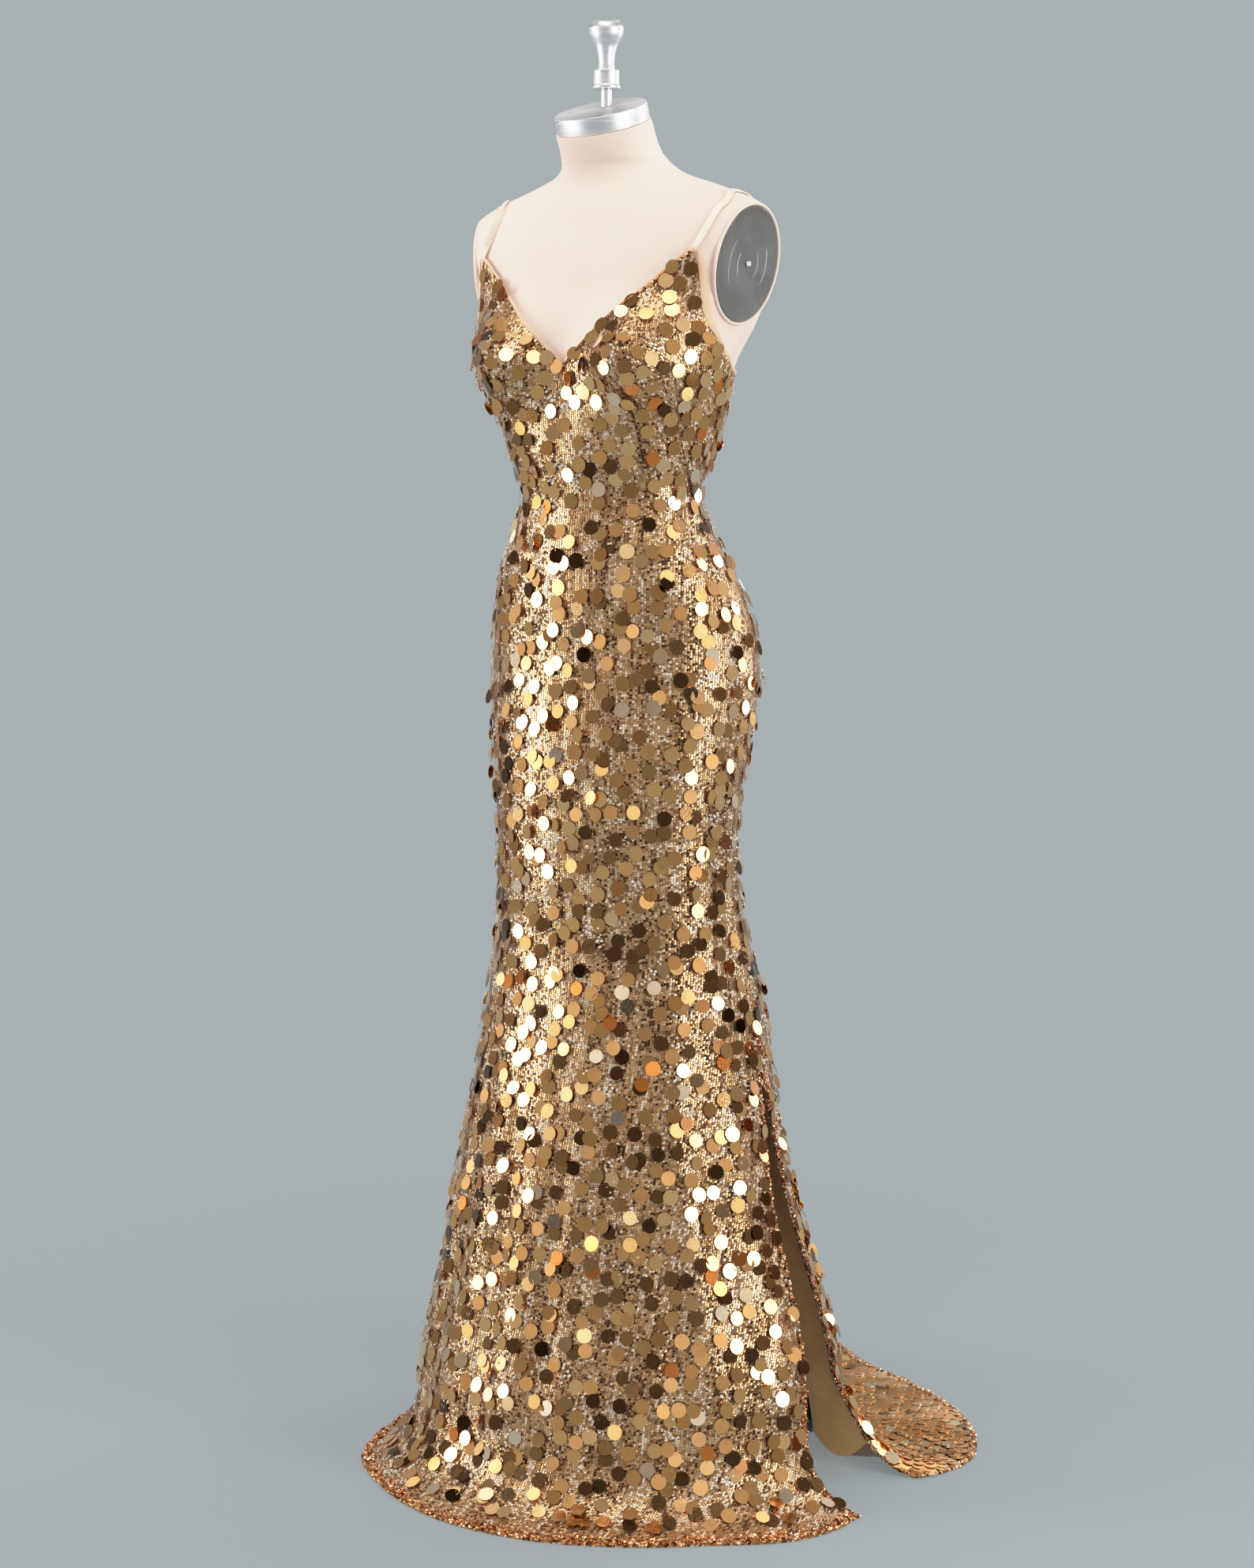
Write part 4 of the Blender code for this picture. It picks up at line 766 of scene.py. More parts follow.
DISC = template(disc_shape)
SMALL_SEQUIN = template(small_sequin_shape)
BEAD = template(bead_shape)
SPACING = 0.0246        # mean distance between two paillettes
LOOSE = 0.45            # share of the spacing that a paillette strays
COVERED = 1.0           # share of the places that carry one
FLOOR_GAP = 0.0008      # the nearest that a paillette comes to the floor
CALM, RESTLESS = 0.74, 2.3      # share that hangs calmly; how much further the others tilt
PITCHES, YAWS = 4.5, 5.5        # degrees that a calm one strays about its two lines
LEAST_PITCH = -3.0
DARK_BELOW = 0.85       # level under which more of them are dark, painted dark reflections
DISC_EDGE, SCALE_EDGE = 0.004, 0.008        # the nearest that they are sewn to a cloth's edge
SCALE_LIFT, EDGE_DISC_LIFT = 0.0018, 0.0040
SEQUIN_FLOOR = 0.0004


def frame_of(normal, down, pitch, yaw, roll):
    """Axes of a disc that hangs along down, tilted about its own lines."""
    down = turn_about(down, normal, roll)
    across = np.cross(normal, down)
    across /= np.linalg.norm(across, axis=1, keepdims=True)
    down = turn_about(down, across, -pitch)
    out = turn_about(normal, across, -pitch)
    across, out = turn_about(across, down, yaw), turn_about(out, down, yaw)
    return across, down, out


def plumb(normal):
    """The way down along a cloth of these normals."""
    down = np.array([0.0, 0.0, -1.0]) - normal * (-normal[:, 2:3])
    return down / np.linalg.norm(down, axis=1, keepdims=True)


def off_floor(centres, axes, sizes):
    """Raise the discs that would dip into the floor."""
    across, along, _ = axes
    low_edge = centres[:, 2] - sizes * np.hypot(along[:, 2], across[:, 2])
    centres[:, 2] += np.maximum(FLOOR_GAP - low_edge, 0.0)


def hung(chance, point, normal, down, pitch, most, swing, sizes, lift, below):
    """Centres, axes and radii of paillettes that hang by their holes, each in its own way."""
    count = len(point)
    spread = np.where(chance.random(count) < CALM, 1.0, RESTLESS)
    pitch = np.radians(np.clip(pitch + spread * chance.normal(0.0, PITCHES, count),
                               LEAST_PITCH, most))
    yaw = np.radians(np.clip(spread * chance.normal(0.0, YAWS, count), -most, most))
    axes = frame_of(normal, down, pitch, yaw, np.radians(chance.normal(0.0, swing, count)))
    sizes = DISC_RADIUS * chance.uniform(*sizes, count)
    lift = chance.uniform(*lift, count) + np.sin(np.abs(yaw)) * DISC_RADIUS * 0.6
    centres = point + normal * lift[:, None] + axes[1] * (sizes * below)[:, None]
    return centres, axes, sizes


def paillettes(name, cloth, seed, v_from, v_to):
    """Paillettes scattered in loose rows over a cloth."""
    chance = np.random.default_rng(seed)
    low, high = cloth.u.min(), cloth.u.max()
    r, c = np.meshgrid(np.arange(int((v_to - v_from) / SPACING)),
                       np.arange(int((high - low) / SPACING)), indexing="ij")
    r, c = r.ravel(), c.ravel()
    us = low + (c + 0.5 + 0.5 * (r % 2)) * SPACING
    vs = v_from + (r + 0.5) * SPACING
    us = us + chance.uniform(-LOOSE, LOOSE, len(us)) * SPACING
    vs = vs + chance.uniform(-LOOSE, LOOSE, len(vs)) * SPACING
    kept = chance.random(len(us)) < COVERED
    point, normal, down, inside, edge = cloth.spots(us, vs)
    kept &= inside & (edge > DISC_EDGE)
    centres, axes, sizes = hung(chance, point[kept], normal[kept], down[kept], 5.0, 34.0, 16.0,
                                (0.94, 1.05), (0.0012, 0.0034), HOLE_AT)
    off_floor(centres, axes, sizes)
    tones = disc_tones(chance, len(centres), np.where(centres[:, 2] < DARK_BELOW, 0.12, 0.05))
    return sewn_on(name, DISC, centres, axes, sizes, tones, GILT)


def disc_tones(chance, count, dark):
    """Mostly middling tones, with a share of dark discs as painted dark reflections and a few red
    ones as painted reflections of neighbouring gold.
    """
    tones = np.clip(chance.normal(0.48, 0.24, count), 0.0, 0.95)
    # near-black discs: painted dark reflections; red discs: painted reflection of neighbouring gold
    tones = np.where(chance.random(count) < dark, 0.02, tones)
    return np.where(chance.random(count) < 0.03, 1.0, tones)


SCALE_DOWN, SCALE_ACROSS = 0.0158, 0.0112       # spacing of the train's scales
SCALE_STRAY = 0.14                              # share of it that they stray


def scales(name, cloth, seed, v_from, v_to, fall):
    """Paillettes that lie over each other on the train, falling towards its open side."""
    chance = np.random.default_rng(seed)
    low, high = cloth.u.min(), cloth.u.max()
    r, c = np.meshgrid(np.arange(int((v_to - v_from) / SCALE_DOWN)),
                       np.arange(int((high - low) / SCALE_ACROSS)), indexing="ij")
    r, c = r.ravel(), c.ravel()
    us = low + (c + 0.5 + chance.uniform(-SCALE_STRAY, SCALE_STRAY, len(r))) * SCALE_ACROSS
    vs = r + 0.25 + 0.5 * (c % 2) + chance.uniform(-SCALE_STRAY, SCALE_STRAY, len(r))
    vs = v_from + vs * SCALE_DOWN
    point, normal, down, inside, edge = cloth.spots(us, vs)
    kept = inside & (edge > SCALE_EDGE) & (vs < v_to)
    point, normal, down = point[kept], normal[kept], down[kept]
    count = len(point)
    pitch = np.radians(4.4 + chance.normal(0.0, 1.2, count))
    yaw = np.radians(chance.normal(0.0, 1.5, count))
    roll = np.radians(fall + chance.normal(0.0, 8.0, count))
    axes = frame_of(normal, down, pitch, yaw, roll)
    centres = point + normal * SCALE_LIFT
    sizes = DISC_RADIUS * chance.uniform(0.97, 1.04, count)
    off_floor(centres, axes, sizes)
    # lighter tones than the other paillettes, partly painted light on the train that lies facing up
    tones = np.clip(chance.normal(0.64, 0.14, count), 0.3, 0.93)
    tones = np.where(chance.random(count) < 0.04, 0.12, tones)
    return sewn_on(name, DISC, centres, axes, sizes, tones, TRAIN_GILT)


def small_ones(name, shape, cloth, seed, us, vs, radius, lean, tones, material, lift=0.0010):
    """Small sequins or beads sewn at given places of a cloth, each leaning its own way."""
    chance = np.random.default_rng(seed)
    point, normal, down, inside, _ = cloth.spots(us, vs)
    point, normal, down, tones = point[inside], normal[inside], down[inside], tones[inside]
    count = len(point)
    pitch, yaw = np.radians(chance.normal(0.0, lean, (2, count)))
    axes = frame_of(normal, down, pitch, yaw, chance.uniform(0.0, pi, count))
    centres = point + normal * (lift + radius * chance.uniform(0.0, 0.5, count))[:, None]
    centres[:, 2] = np.maximum(centres[:, 2], radius + SEQUIN_FLOOR)
    sizes = radius * chance.uniform(0.85, 1.15, count)
    return sewn_on(name, shape, centres, axes, sizes, tones, material)


# ---- finishes in use ----
GROUND = sequin_ground("sequin_ground")
GILT = paillette_finish("gilt_paillette", 0.08, 0.16)
TRAIN_GILT = paillette_finish("train_paillette", 0.26, 0.36)
COPPER = small_finish("copper_sequins", (
    (0.0, (0.16, 0.045, 0.018)), (0.35, (0.62, 0.25, 0.095)), (0.7, (0.88, 0.47, 0.22)),
    (1.0, (0.97, 0.76, 0.54))))
# pale cream beads: their whiteness is partly a painted glint
PEARL_AND_GLINT = small_finish("pearl_beads_and_painted_glint", (
    (0.0, (0.34, 0.22, 0.12)), (0.3, (0.88, 0.72, 0.53)), (1.0, (0.97, 0.91, 0.81))), 0.2, 0.1)
NET = satin("net_backing", (0.40, 0.27, 0.17), (0.30, 0.19, 0.11))
LINING_SATIN = satin("tan_lining_satin", (1.0, 0.56, 0.21), (0.76, 0.40, 0.14), roughness=0.38)
PEACH = satin("peach_binding_satin", (0.92, 0.60, 0.40), (0.84, 0.52, 0.33), roughness=0.5)
NUDE = satin("nude_strap_satin", (1.0, 0.87, 0.72), (0.97, 0.82, 0.66), roughness=0.5)
JERSEY = form_cloth()
ALUMINIUM = brushed("brushed_aluminium", (0.80, 0.80, 0.81), 0.36)
STEEL = brushed("satin_steel", (0.55, 0.56, 0.58), 0.28)
ZIP_BRASS = brushed("zip_brass", (0.72, 0.56, 0.32), 0.30)
SMOKE = smoked_plastic()
ENAMEL = enamel()


# ---- skirt ----
def panel_place(first, last):
    """Place on a skirt panel between two edges, by shares across and down."""
    def place(across, down):
        row = 2.0 * down
        start, end = first(row), last(row)
        return skirt_skin(start + (end - start) * across, row)
    return place


def gap_angle(radius):
    return degrees(SEAM / 2 / radius)


SKIRT_ROWS = 150
SKIRT_GAP, SIDE_GAP, BACK_GAP = gap_angle(0.17), gap_angle(0.16), gap_angle(0.11)
SLIT_ROW = 0.5 + 0.5 * (HIP_LEVEL - SLIT_TOP) / (HIP_LEVEL - BREAK)
TRAIN_ROW = 1.24        # row of the skirt where the train's scales start


def slit_front(row):
    return slit_edge(SLIT_FRONT_FLOOR, row) - SKIRT_GAP


def slit_back(row):
    return slit_edge(SLIT_BACK_FLOOR, row) + SKIRT_GAP


def left_back_seam(row):
    return CENTRE_BACK - SKIRT_GAP


def down_to_row(cloth, row):
    """How far down a panel's middle a row of the skirt lies."""
    return float(np.interp(row / 2, np.linspace(0.0, 1.0, SKIRT_ROWS + 1), cloth.v))


HEM_SEQUIN, HEM_SEQUIN_STEP = 0.0026, 0.0036
SLIT_BEAD, SLIT_BEAD_STEP, SLIT_BEAD_BAND = 0.0021, 0.0030, 0.009
PEARL_RADIUS, HEAP, PEARL_LIFT = 0.0015, 9, 0.0008
NECK_BEAD = 0.0013


def hem_band(name, cloth, seed, wide, tone):
    """A dense copper or tan edge of small sequins along the hem."""
    chance = np.random.default_rng(seed)
    low, high = cloth.u.min(), cloth.u.max()
    count = int((high - low) * (wide + 0.001) / HEM_SEQUIN_STEP ** 2)
    us = chance.uniform(low, high, count)
    vs = cloth.v[-1] - 0.0006 - wide * chance.random(count) ** 1.3
    tones = np.clip(chance.normal(tone, 0.26, count), 0.0, 1.0)
    return small_ones(name, SMALL_SEQUIN, cloth, seed + 1, us, vs, HEM_SEQUIN, 26.0, tones, COPPER)


def heaped(chance, heaps, low, high, stray):
    """Places in heaps along one measure."""
    middles = np.repeat(chance.uniform(low, high, heaps), HEAP)
    return middles + chance.normal(0.0, stray, heaps * HEAP)


def pearls(name, cloth, seed, count, v_to):
    """Loose clusters of small pale beads over the strands; their pale colour is partly a painted
    glint.
    """
    chance = np.random.default_rng(seed)
    heaps = count // HEAP
    us = heaped(chance, heaps, cloth.u.min(), cloth.u.max(), 0.007)
    vs = heaped(chance, heaps, 0.004, v_to, 0.009)
    tones = np.clip(chance.normal(0.75, 0.25, heaps * HEAP), 0.0, 1.0)
    vs = np.clip(vs, 0.003, v_to)
    return small_ones(name, BEAD, cloth, seed + 1, us, vs, PEARL_RADIUS, 8.0, tones, PEARL_AND_GLINT, 0.0004)


def open_edge(name, cloth, seed, side, v_from):
    """Dark red and copper beads along one edge of the slit."""
    chance = np.random.default_rng(seed)
    count = int((cloth.v[-1] - v_from) * SLIT_BEAD_BAND / SLIT_BEAD_STEP ** 2)
    vs = chance.uniform(v_from, cloth.v[-1] - 0.001, count)
    edge = np.interp(vs, cloth.v, cloth.u[:, -1 if side > 0 else 0])
    us = edge - side * (0.0006 + 0.0085 * chance.random(count))
    tones = np.clip(chance.normal(0.30, 0.28, count), 0.0, 1.0)
    return small_ones(name, SMALL_SEQUIN, cloth, seed + 1, us, vs, SLIT_BEAD, 30.0, tones, COPPER)


def edge_discs(name, cloth, seed, v_from):
    """Large peach paillettes in a row down the beaded back edge of the slit."""
    chance = np.random.default_rng(seed)
    count = 8
    vs = v_from + (cloth.v[-1] - v_from) * (0.30 + 0.60 * (np.arange(count) + 0.5) / count)
    vs = vs + chance.uniform(-0.012, 0.012, count)
    us = np.interp(vs, cloth.v, cloth.u[:, 0]) + DISC_RADIUS + chance.uniform(0.0, 0.003, count)
    point, normal, down, _, _ = cloth.spots(us, vs)
    axes = frame_of(normal, down, np.radians(chance.normal(4.0, 3.0, count)), np.zeros(count),
                    np.radians(chance.normal(0.0, 12.0, count)))
    sizes = DISC_RADIUS * chance.uniform(0.96, 1.08, count)
    tones = chance.uniform(0.72, 0.93, count)
    centres = point + normal * EDGE_DISC_LIFT
    off_floor(centres, axes, sizes)
    return sewn_on(name, DISC, centres, axes, sizes, tones, GILT)


def skirt():
    """The skirt's three cloths with all that is sewn on them."""
    made = {}
    panels = (
        # name, its solids, first edge, last edge, columns, pearls, hem's width and tone,
        # side of the slit, way that the train's scales fall
        ("skirt_front", ("skirt_front_left", "skirt_front_right"),
         lambda row: -SIDE_SEAM + SKIRT_GAP, slit_front, 120, 3600, (0.016, 0.50), 1, None),
        ("skirt_back_left", ("skirt_back_left",),
         slit_back, left_back_seam, 72, 1700, (0.007, 0.80), -1, -55.0),
        ("skirt_back_right", ("skirt_back_right",),
         lambda row: -CENTRE_BACK + SKIRT_GAP, lambda row: -SIDE_SEAM - SKIRT_GAP, 66, 1700,
         (0.007, 0.80), None, 55.0),
    )
    for number, row in enumerate(panels):
        name, solids, first, last, columns, beads, hem, slit_side, fall = row
        cloth = Cloth(panel_place(first, last), columns, SKIRT_ROWS)
        shell = cloth.shell(name + "_cloth", GROUND_WALL, GROUND, NET)
        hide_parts(*solids)
        foot = cloth.v[-1]
        bottom = foot - 0.014 if fall is None else down_to_row(cloth, TRAIN_ROW)
        sewn = [paillettes(name + "_paillettes", cloth, 11 + number, -0.006, bottom),
                hem_band(name + "_hem_sequins", cloth, 51 + 2 * number, *hem),
                pearls(name + "_pearls", cloth, 61 + 2 * number, beads, bottom)]
        if fall is not None:
            sewn.append(scales(name + "_train_paillettes", cloth, 71 + number, bottom,
                               foot - 0.010, fall))
        if slit_side:
            slit_v = down_to_row(cloth, SLIT_ROW)
            sewn.append(open_edge(name + "_slit_beads", cloth, 81 + 2 * number, slit_side, slit_v))
        if slit_side == -1:
            sewn.append(edge_discs("slit_edge_paillettes", cloth, 99, slit_v))
        width, length, area = cloth.size()
        made[name] = cloth
    return made


def bodice():
    """The bodice's front and backs with all that is sewn on them."""
    made = {}
    panels = (
        ("bodice_front", -SIDE_SEAM + SIDE_GAP, SIDE_SEAM - SIDE_GAP, 120),
        ("bodice_back_left", SIDE_SEAM + SIDE_GAP, CENTRE_BACK - BACK_GAP, 52),
        ("bodice_back_right", -CENTRE_BACK + BACK_GAP, -SIDE_SEAM - SIDE_GAP, 52),
    )
    bottom = WAIST + SEAM / 2
    for number, (name, first, last, columns) in enumerate(panels):
        stops = np.linspace(first, last, columns + 1)
        if name == "bodice_front":
            for peak in (-PEAK_ANGLE - PEAK_HALF, -PEAK_ANGLE + PEAK_HALF,
                         PEAK_ANGLE - PEAK_HALF, PEAK_ANGLE + PEAK_HALF):
                stops[np.argmin(abs(stops - peak))] = peak
        tops = [below_edge(angle, BINDING + SEAM) for angle in stops]

        def place(across, down, stops=stops, tops=tops, columns=columns):
            column = round(across * columns)
            return body_skin(stops[column], tops[column] + (bottom - tops[column]) * down)
        cloth = Cloth(place, columns, 46, True)
        shell = cloth.shell(name + "_cloth", GROUND_WALL, GROUND, NET)
        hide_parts(name)
        sewn = [bodice_paillettes(name + "_paillettes", cloth, 31 + number),
                bodice_pearls(name + "_pearls", cloth, 91 + number)]
        if name == "bodice_front":
            sewn.append(neckline_beads("neckline_beads", 97))
        width, length, area = cloth.size()
        made[name] = cloth
    return made


def bodice_pearls(name, cloth, seed):
    """Loose clusters of small pale beads over the bodice's strands; their pale colour is partly a
    painted glint.
    """
    chance = np.random.default_rng(seed)
    rows, columns = cloth.points.shape[:2]
    heaps = int(cloth.size()[2] * 380)
    r = np.clip(heaped(chance, heaps, 1.5, rows - 2.5, 1.1), 1.0, rows - 2.0)
    c = np.clip(heaped(chance, heaps, 1.0, columns - 2.0, 2.0), 0.6, columns - 1.6)
    low_r, low_c = r.astype(int), c.astype(int)
    point = cloth.between(low_r, low_c, (r - low_r)[:, None], (c - low_c)[:, None])
    normal = cloth.normals[low_r, low_c]
    count = len(point)
    pitch, yaw = np.radians(chance.normal(0.0, 8.0, (2, count)))
    axes = frame_of(normal, plumb(normal), pitch, yaw, chance.uniform(0.0, pi, count))
    tones = np.clip(chance.normal(0.75, 0.25, count), 0.0, 1.0)
    sizes = PEARL_RADIUS * chance.uniform(0.85, 1.15, count)
    return sewn_on(name, BEAD, point + normal * PEARL_LIFT, axes, sizes, tones, PEARL_AND_GLINT)


def neckline_beads(name, seed):
    """A row of tiny gold beads under the binding, on the wearer's left of the neckline."""
    angles = np.linspace(1.0, PEAK_ANGLE - 1.0, 150)
    points = np.array([body_skin(angle, below_edge(angle, BINDING + 0.0014)) for angle in angles])
    normal = np.array([body_normal(angle, top_edge(angle)) for angle in angles])
    down = plumb(normal)
    chance = np.random.default_rng(seed)
    tones = np.clip(chance.normal(0.45, 0.3, len(angles)), 0.0, 1.0)
    return sewn_on(name, BEAD, points + normal * PEARL_LIFT, (np.cross(normal, down), down, normal),
                   np.full(len(angles), NECK_BEAD), tones, COPPER)


ZIP_CLEAR, PULL_HALF = 1.246, 0.013     # no paillette lies in the way of the zip's pull
CLOSEST = SPACING * 0.56                # distance between two of the bodice's paillettes


def bodice_paillettes(name, cloth, seed):
    """Paillettes strewn evenly over the bodice's area, none too near another."""
    chance = np.random.default_rng(seed)
    columns = cloth.points.shape[1]
    count = int(cloth.size()[2] / (SPACING * SPACING) * 1.12)
    cells = np.linalg.norm(np.cross(np.diff(cloth.points[:-1], axis=1),
                                    np.diff(cloth.points[:, :-1], axis=0)), axis=2)
    reached = np.cumsum(cells.ravel())
    chance.random(count)        # passed over, so that every later draw keeps its place
    chosen, tries = [], 0
    while len(chosen) < count and tries < count * 30:
        tries += 1
        r, c = divmod(int(np.searchsorted(reached, chance.random() * reached[-1])), columns - 1)
        across, down = chance.random(2)
        point = cloth.between(r, c, down, across)
        under_pull = abs(point[0]) < PULL_HALF and point[1] > 0 and point[2] > ZIP_CLEAR
        if point[2] < WAIST + 0.003 or under_pull:
            continue
        if chosen:
            away = np.array([each[0] for each in chosen]) - point
            if np.min(np.sum(away ** 2, axis=1)) < CLOSEST * CLOSEST:
                continue
        chosen.append((point, r, c))
    point, r, c = (np.array(column) for column in zip(*chosen))
    normal = cloth.normals[r, c]
    centres, axes, sizes = hung(chance, point, normal, plumb(normal), 4.0, 30.0, 18.0,
                                (0.92, 1.03), (0.0012, 0.0032), 0.35)
    tones = disc_tones(chance, len(point), 0.04)
    return sewn_on(name, DISC, centres, axes, sizes, tones, GILT)


LINING_ROWS = (0.625, 1.38)         # rows of the skirt where it starts and ends
LINING_INSET = 0.006                # share of the panel's width that it stays off the slit


def lining():
    """The back's lining, seen inside the slit."""
    top, bottom = LINING_ROWS

    def place(across, down):
        row = top + (bottom - top) * down
        start, end = slit_back(row), left_back_seam(row)
        angle = start + (end - start) * (LINING_INSET + (1 - LINING_INSET) * across)
        low, high = max(row - 0.004, 0.0), min(row + 0.004, 2.0)
        around = skirt_skin(angle + ANGLE_STEP, row) - skirt_skin(angle - ANGLE_STEP, row)
        upward = skirt_skin(angle, low) - skirt_skin(angle, high)
        normal = around.cross(upward).normalized()
        return skirt_skin(angle, row) - normal * (CLOTH + LINING_GAP)
    cloth = Cloth(place, 72, 84)
    shell = cloth.shell("lining_back_left_cloth", LINING, NET, LINING_SATIN)
    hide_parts("lining_back_left")
    width, length, area = cloth.size()


# ---- bindings and straps ----
BINDING_BULGE, BINDING_SINK = 0.0006, 0.0002
BINDING_CUT, STRAP_CUT = 0.012, 0.0101      # widths that they were cut to


def edge_binding(name, start, end, count):
    """A narrow rolled binding along the bodice's top edge."""
    stops = np.linspace(start, end, count + 1)
    tops = [top_edge(angle) for angle in stops]
    lows = [below_edge(angle, BINDING) for angle in stops]

    def place(across, down):
        column = round(across * count)
        level = tops[column] + (lows[column] - tops[column]) * down
        bulge = BINDING_BULGE * sin(pi * down)
        return body_inside(stops[column], level, BINDING_SINK - bulge)
    cloth = Cloth(place, count, 4)
    shell = cloth.shell(name + "_cloth", BINDING_WALL, PEACH, PEACH)
    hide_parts(name)
    width, length, _ = cloth.size()
    length = max(length, BINDING_CUT)


STRAP_BACK = 148.0
STRAP_END = 0.12                            # share of the way over which a strap's end turns
LEAN_RISES, LEAN_FALLS = (0.03, 0.12), (0.46, 0.38)
# share of the way, angle, level along the middle of each strap
STRAP_START = (0.0, PEAK_ANGLE, PEAK_LEVEL + SEAM)
STRAP_DOWN_BACK = (
    (0.60, 99.0, 1.577), (0.72, 112.0, 1.530), (0.86, 130.0, 1.450),
    (1.0, STRAP_BACK, top_edge(STRAP_BACK) + 2 * SEAM),
)
STRAP_LEANS = {1: 0.0, -1: radians(52.0)}   # the taut right strap faces forward in front
LEANT_SINK = 0.0011                         # its inner edge lies lower there
STRAP_ROUTES = {
    1: (STRAP_START, (0.13, 68.0, 1.536), (0.27, 71.5, 1.557), (0.38, 76.5, 1.572),
        (0.50, 87.5, 1.590)) + STRAP_DOWN_BACK,
    -1: (STRAP_START, (0.13, 63.5, 1.537), (0.27, 63.8, 1.558), (0.38, 67.5, 1.573),
         (0.48, 78.0, 1.590), (0.54, 88.5, 1.5905)) + STRAP_DOWN_BACK,
}


def strap(name, sign):
    """A narrow satin strap from the peak, over the shoulder, to the back's edge."""
    def middle(along):
        _, angle, level = smooth_row(STRAP_ROUTES[sign], 0, along)
        return body_inside(angle, level, CLOTH + EASE)

    def edge_way(angle):
        start, end = angle - 1.0, angle + 1.0
        return (body_skin(end, top_edge(end)) - body_skin(start, top_edge(start))).normalized()

    def place(across, along):
        _, angle, level = smooth_row(STRAP_ROUTES[sign], 0, along)
        normal = body_normal(angle, level)
        ahead = middle(min(along + 0.01, 1.0)) - middle(max(along - 0.01, 0.0))
        sideways = ahead.cross(normal).normalized()
        along_edge = edge_way(PEAK_ANGLE if along < 0.5 else STRAP_BACK)
        if along_edge.dot(sideways) < 0:
            along_edge = -along_edge
        near_end = ramp(min(along, 1 - along), STRAP_END, 0.0)
        sideways = sideways.lerp(along_edge, near_end)
        crown = STRAP_CROWN * (1 - abs(2 * across - 1) ** 4)
        lift = STRAP_LIFT + (STRAP_END_LIFT - STRAP_LIFT) * near_end
        lean = STRAP_LEANS[sign] * ramp(along, *LEAN_RISES) * ramp(along, *LEAN_FALLS)
        lift += STRAP_WALL - STRAP_CROWN + crown - LEANT_SINK * sin(lean)
        point = middle(along) + normal * lift - sideways * STRAP_WIDTH / 2
        width = sideways * cos(lean) + normal * sin(lean)
        point += width * STRAP_WIDTH * across
        if sign < 0:
            point.x = -point.x
        return point
    # the right strap is the left one's mirror image, so its columns run the other way
    mirrored = (lambda across, along: place(1 - across, along)) if sign < 0 else place
    cloth = Cloth(mirrored, 8, 90)
    if (cloth.normals[40, 4] * cloth.points[40, 4])[0] < 0:
        cloth.normals = -cloth.normals
    shell = cloth.shell(name + "_cloth", STRAP_WALL - STRAP_CROWN, NUDE, NUDE)
    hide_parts(name)
    width, length, _ = cloth.size()
    width = max(width, STRAP_CUT)


# ---- dress form ----
def plate_side(sign):
    """An arm plate's centre, the way that it faces and its long axis."""
    centre = Vector((sign * ARM_PLATE.x, ARM_PLATE.y, ARM_PLATE.z))
    level = cos(ARM_PLATE_LEAN)
    outward = Vector((sign * cos(ARM_PLATE_YAW) * level, -sin(ARM_PLATE_YAW) * level,
                      -sin(ARM_PLATE_LEAN)))
    up = (Vector((0.0, 0.0, 1.0)) - outward * outward.z).normalized()
    up = Matrix.Rotation(-sign * ARM_PLATE_ROLL, 3, outward) @ up
    return centre, outward, up


SEATS_FROM = 1.40                   # the lowest level of the arm plates' seats
NECK_LEANS = (1.606, 1.663)         # levels between which the neck's rings tilt forward
CENTRE_SEAM, SIDE_FORM_SEAM = (180.0, 0.6), (98.0, 1.6)     # angle and half width, in degrees
NECK_SEAM, SIDE_SEAM_ENDS = (1.6265, 0.0022), (1.47, 1.44)  # levels and half width
TORSO_COLUMNS = 144
# levels between which the torso's rings lie, and how many
TORSO_BANDS = ((HIP_LEVEL, WAIST, 30), (WAIST, 1.40, 18), (1.40, 1.56, 28), (1.56, 1.626, 24),
               (1.626, NECK_TOP, 6))
FOOT_RINGS = ((HIP_END, 0.93), (HIP_END + 0.004, 0.985))    # level and size of the turned-in foot


def torso_point(angle, height):
    """The form's skin: the gown's skin set in, with flat seats for the arm plates."""
    point = body_inside(angle, height, CLOTH + EASE)
    if point.y < ARM_PLATE.y:
        point.y += CUP_EASE * cup(point.x, height)
    if height > SEATS_FROM:
        centre, outward, _ = plate_side(1 if point.x > 0 else -1)
        point -= outward * max((point - centre).dot(outward), 0.0)
    lean = ramp(height, *NECK_LEANS)
    point.z += (height - point.z + tan(NECK_TILT) * (point.y - NECK_Y)) * lean
    return point


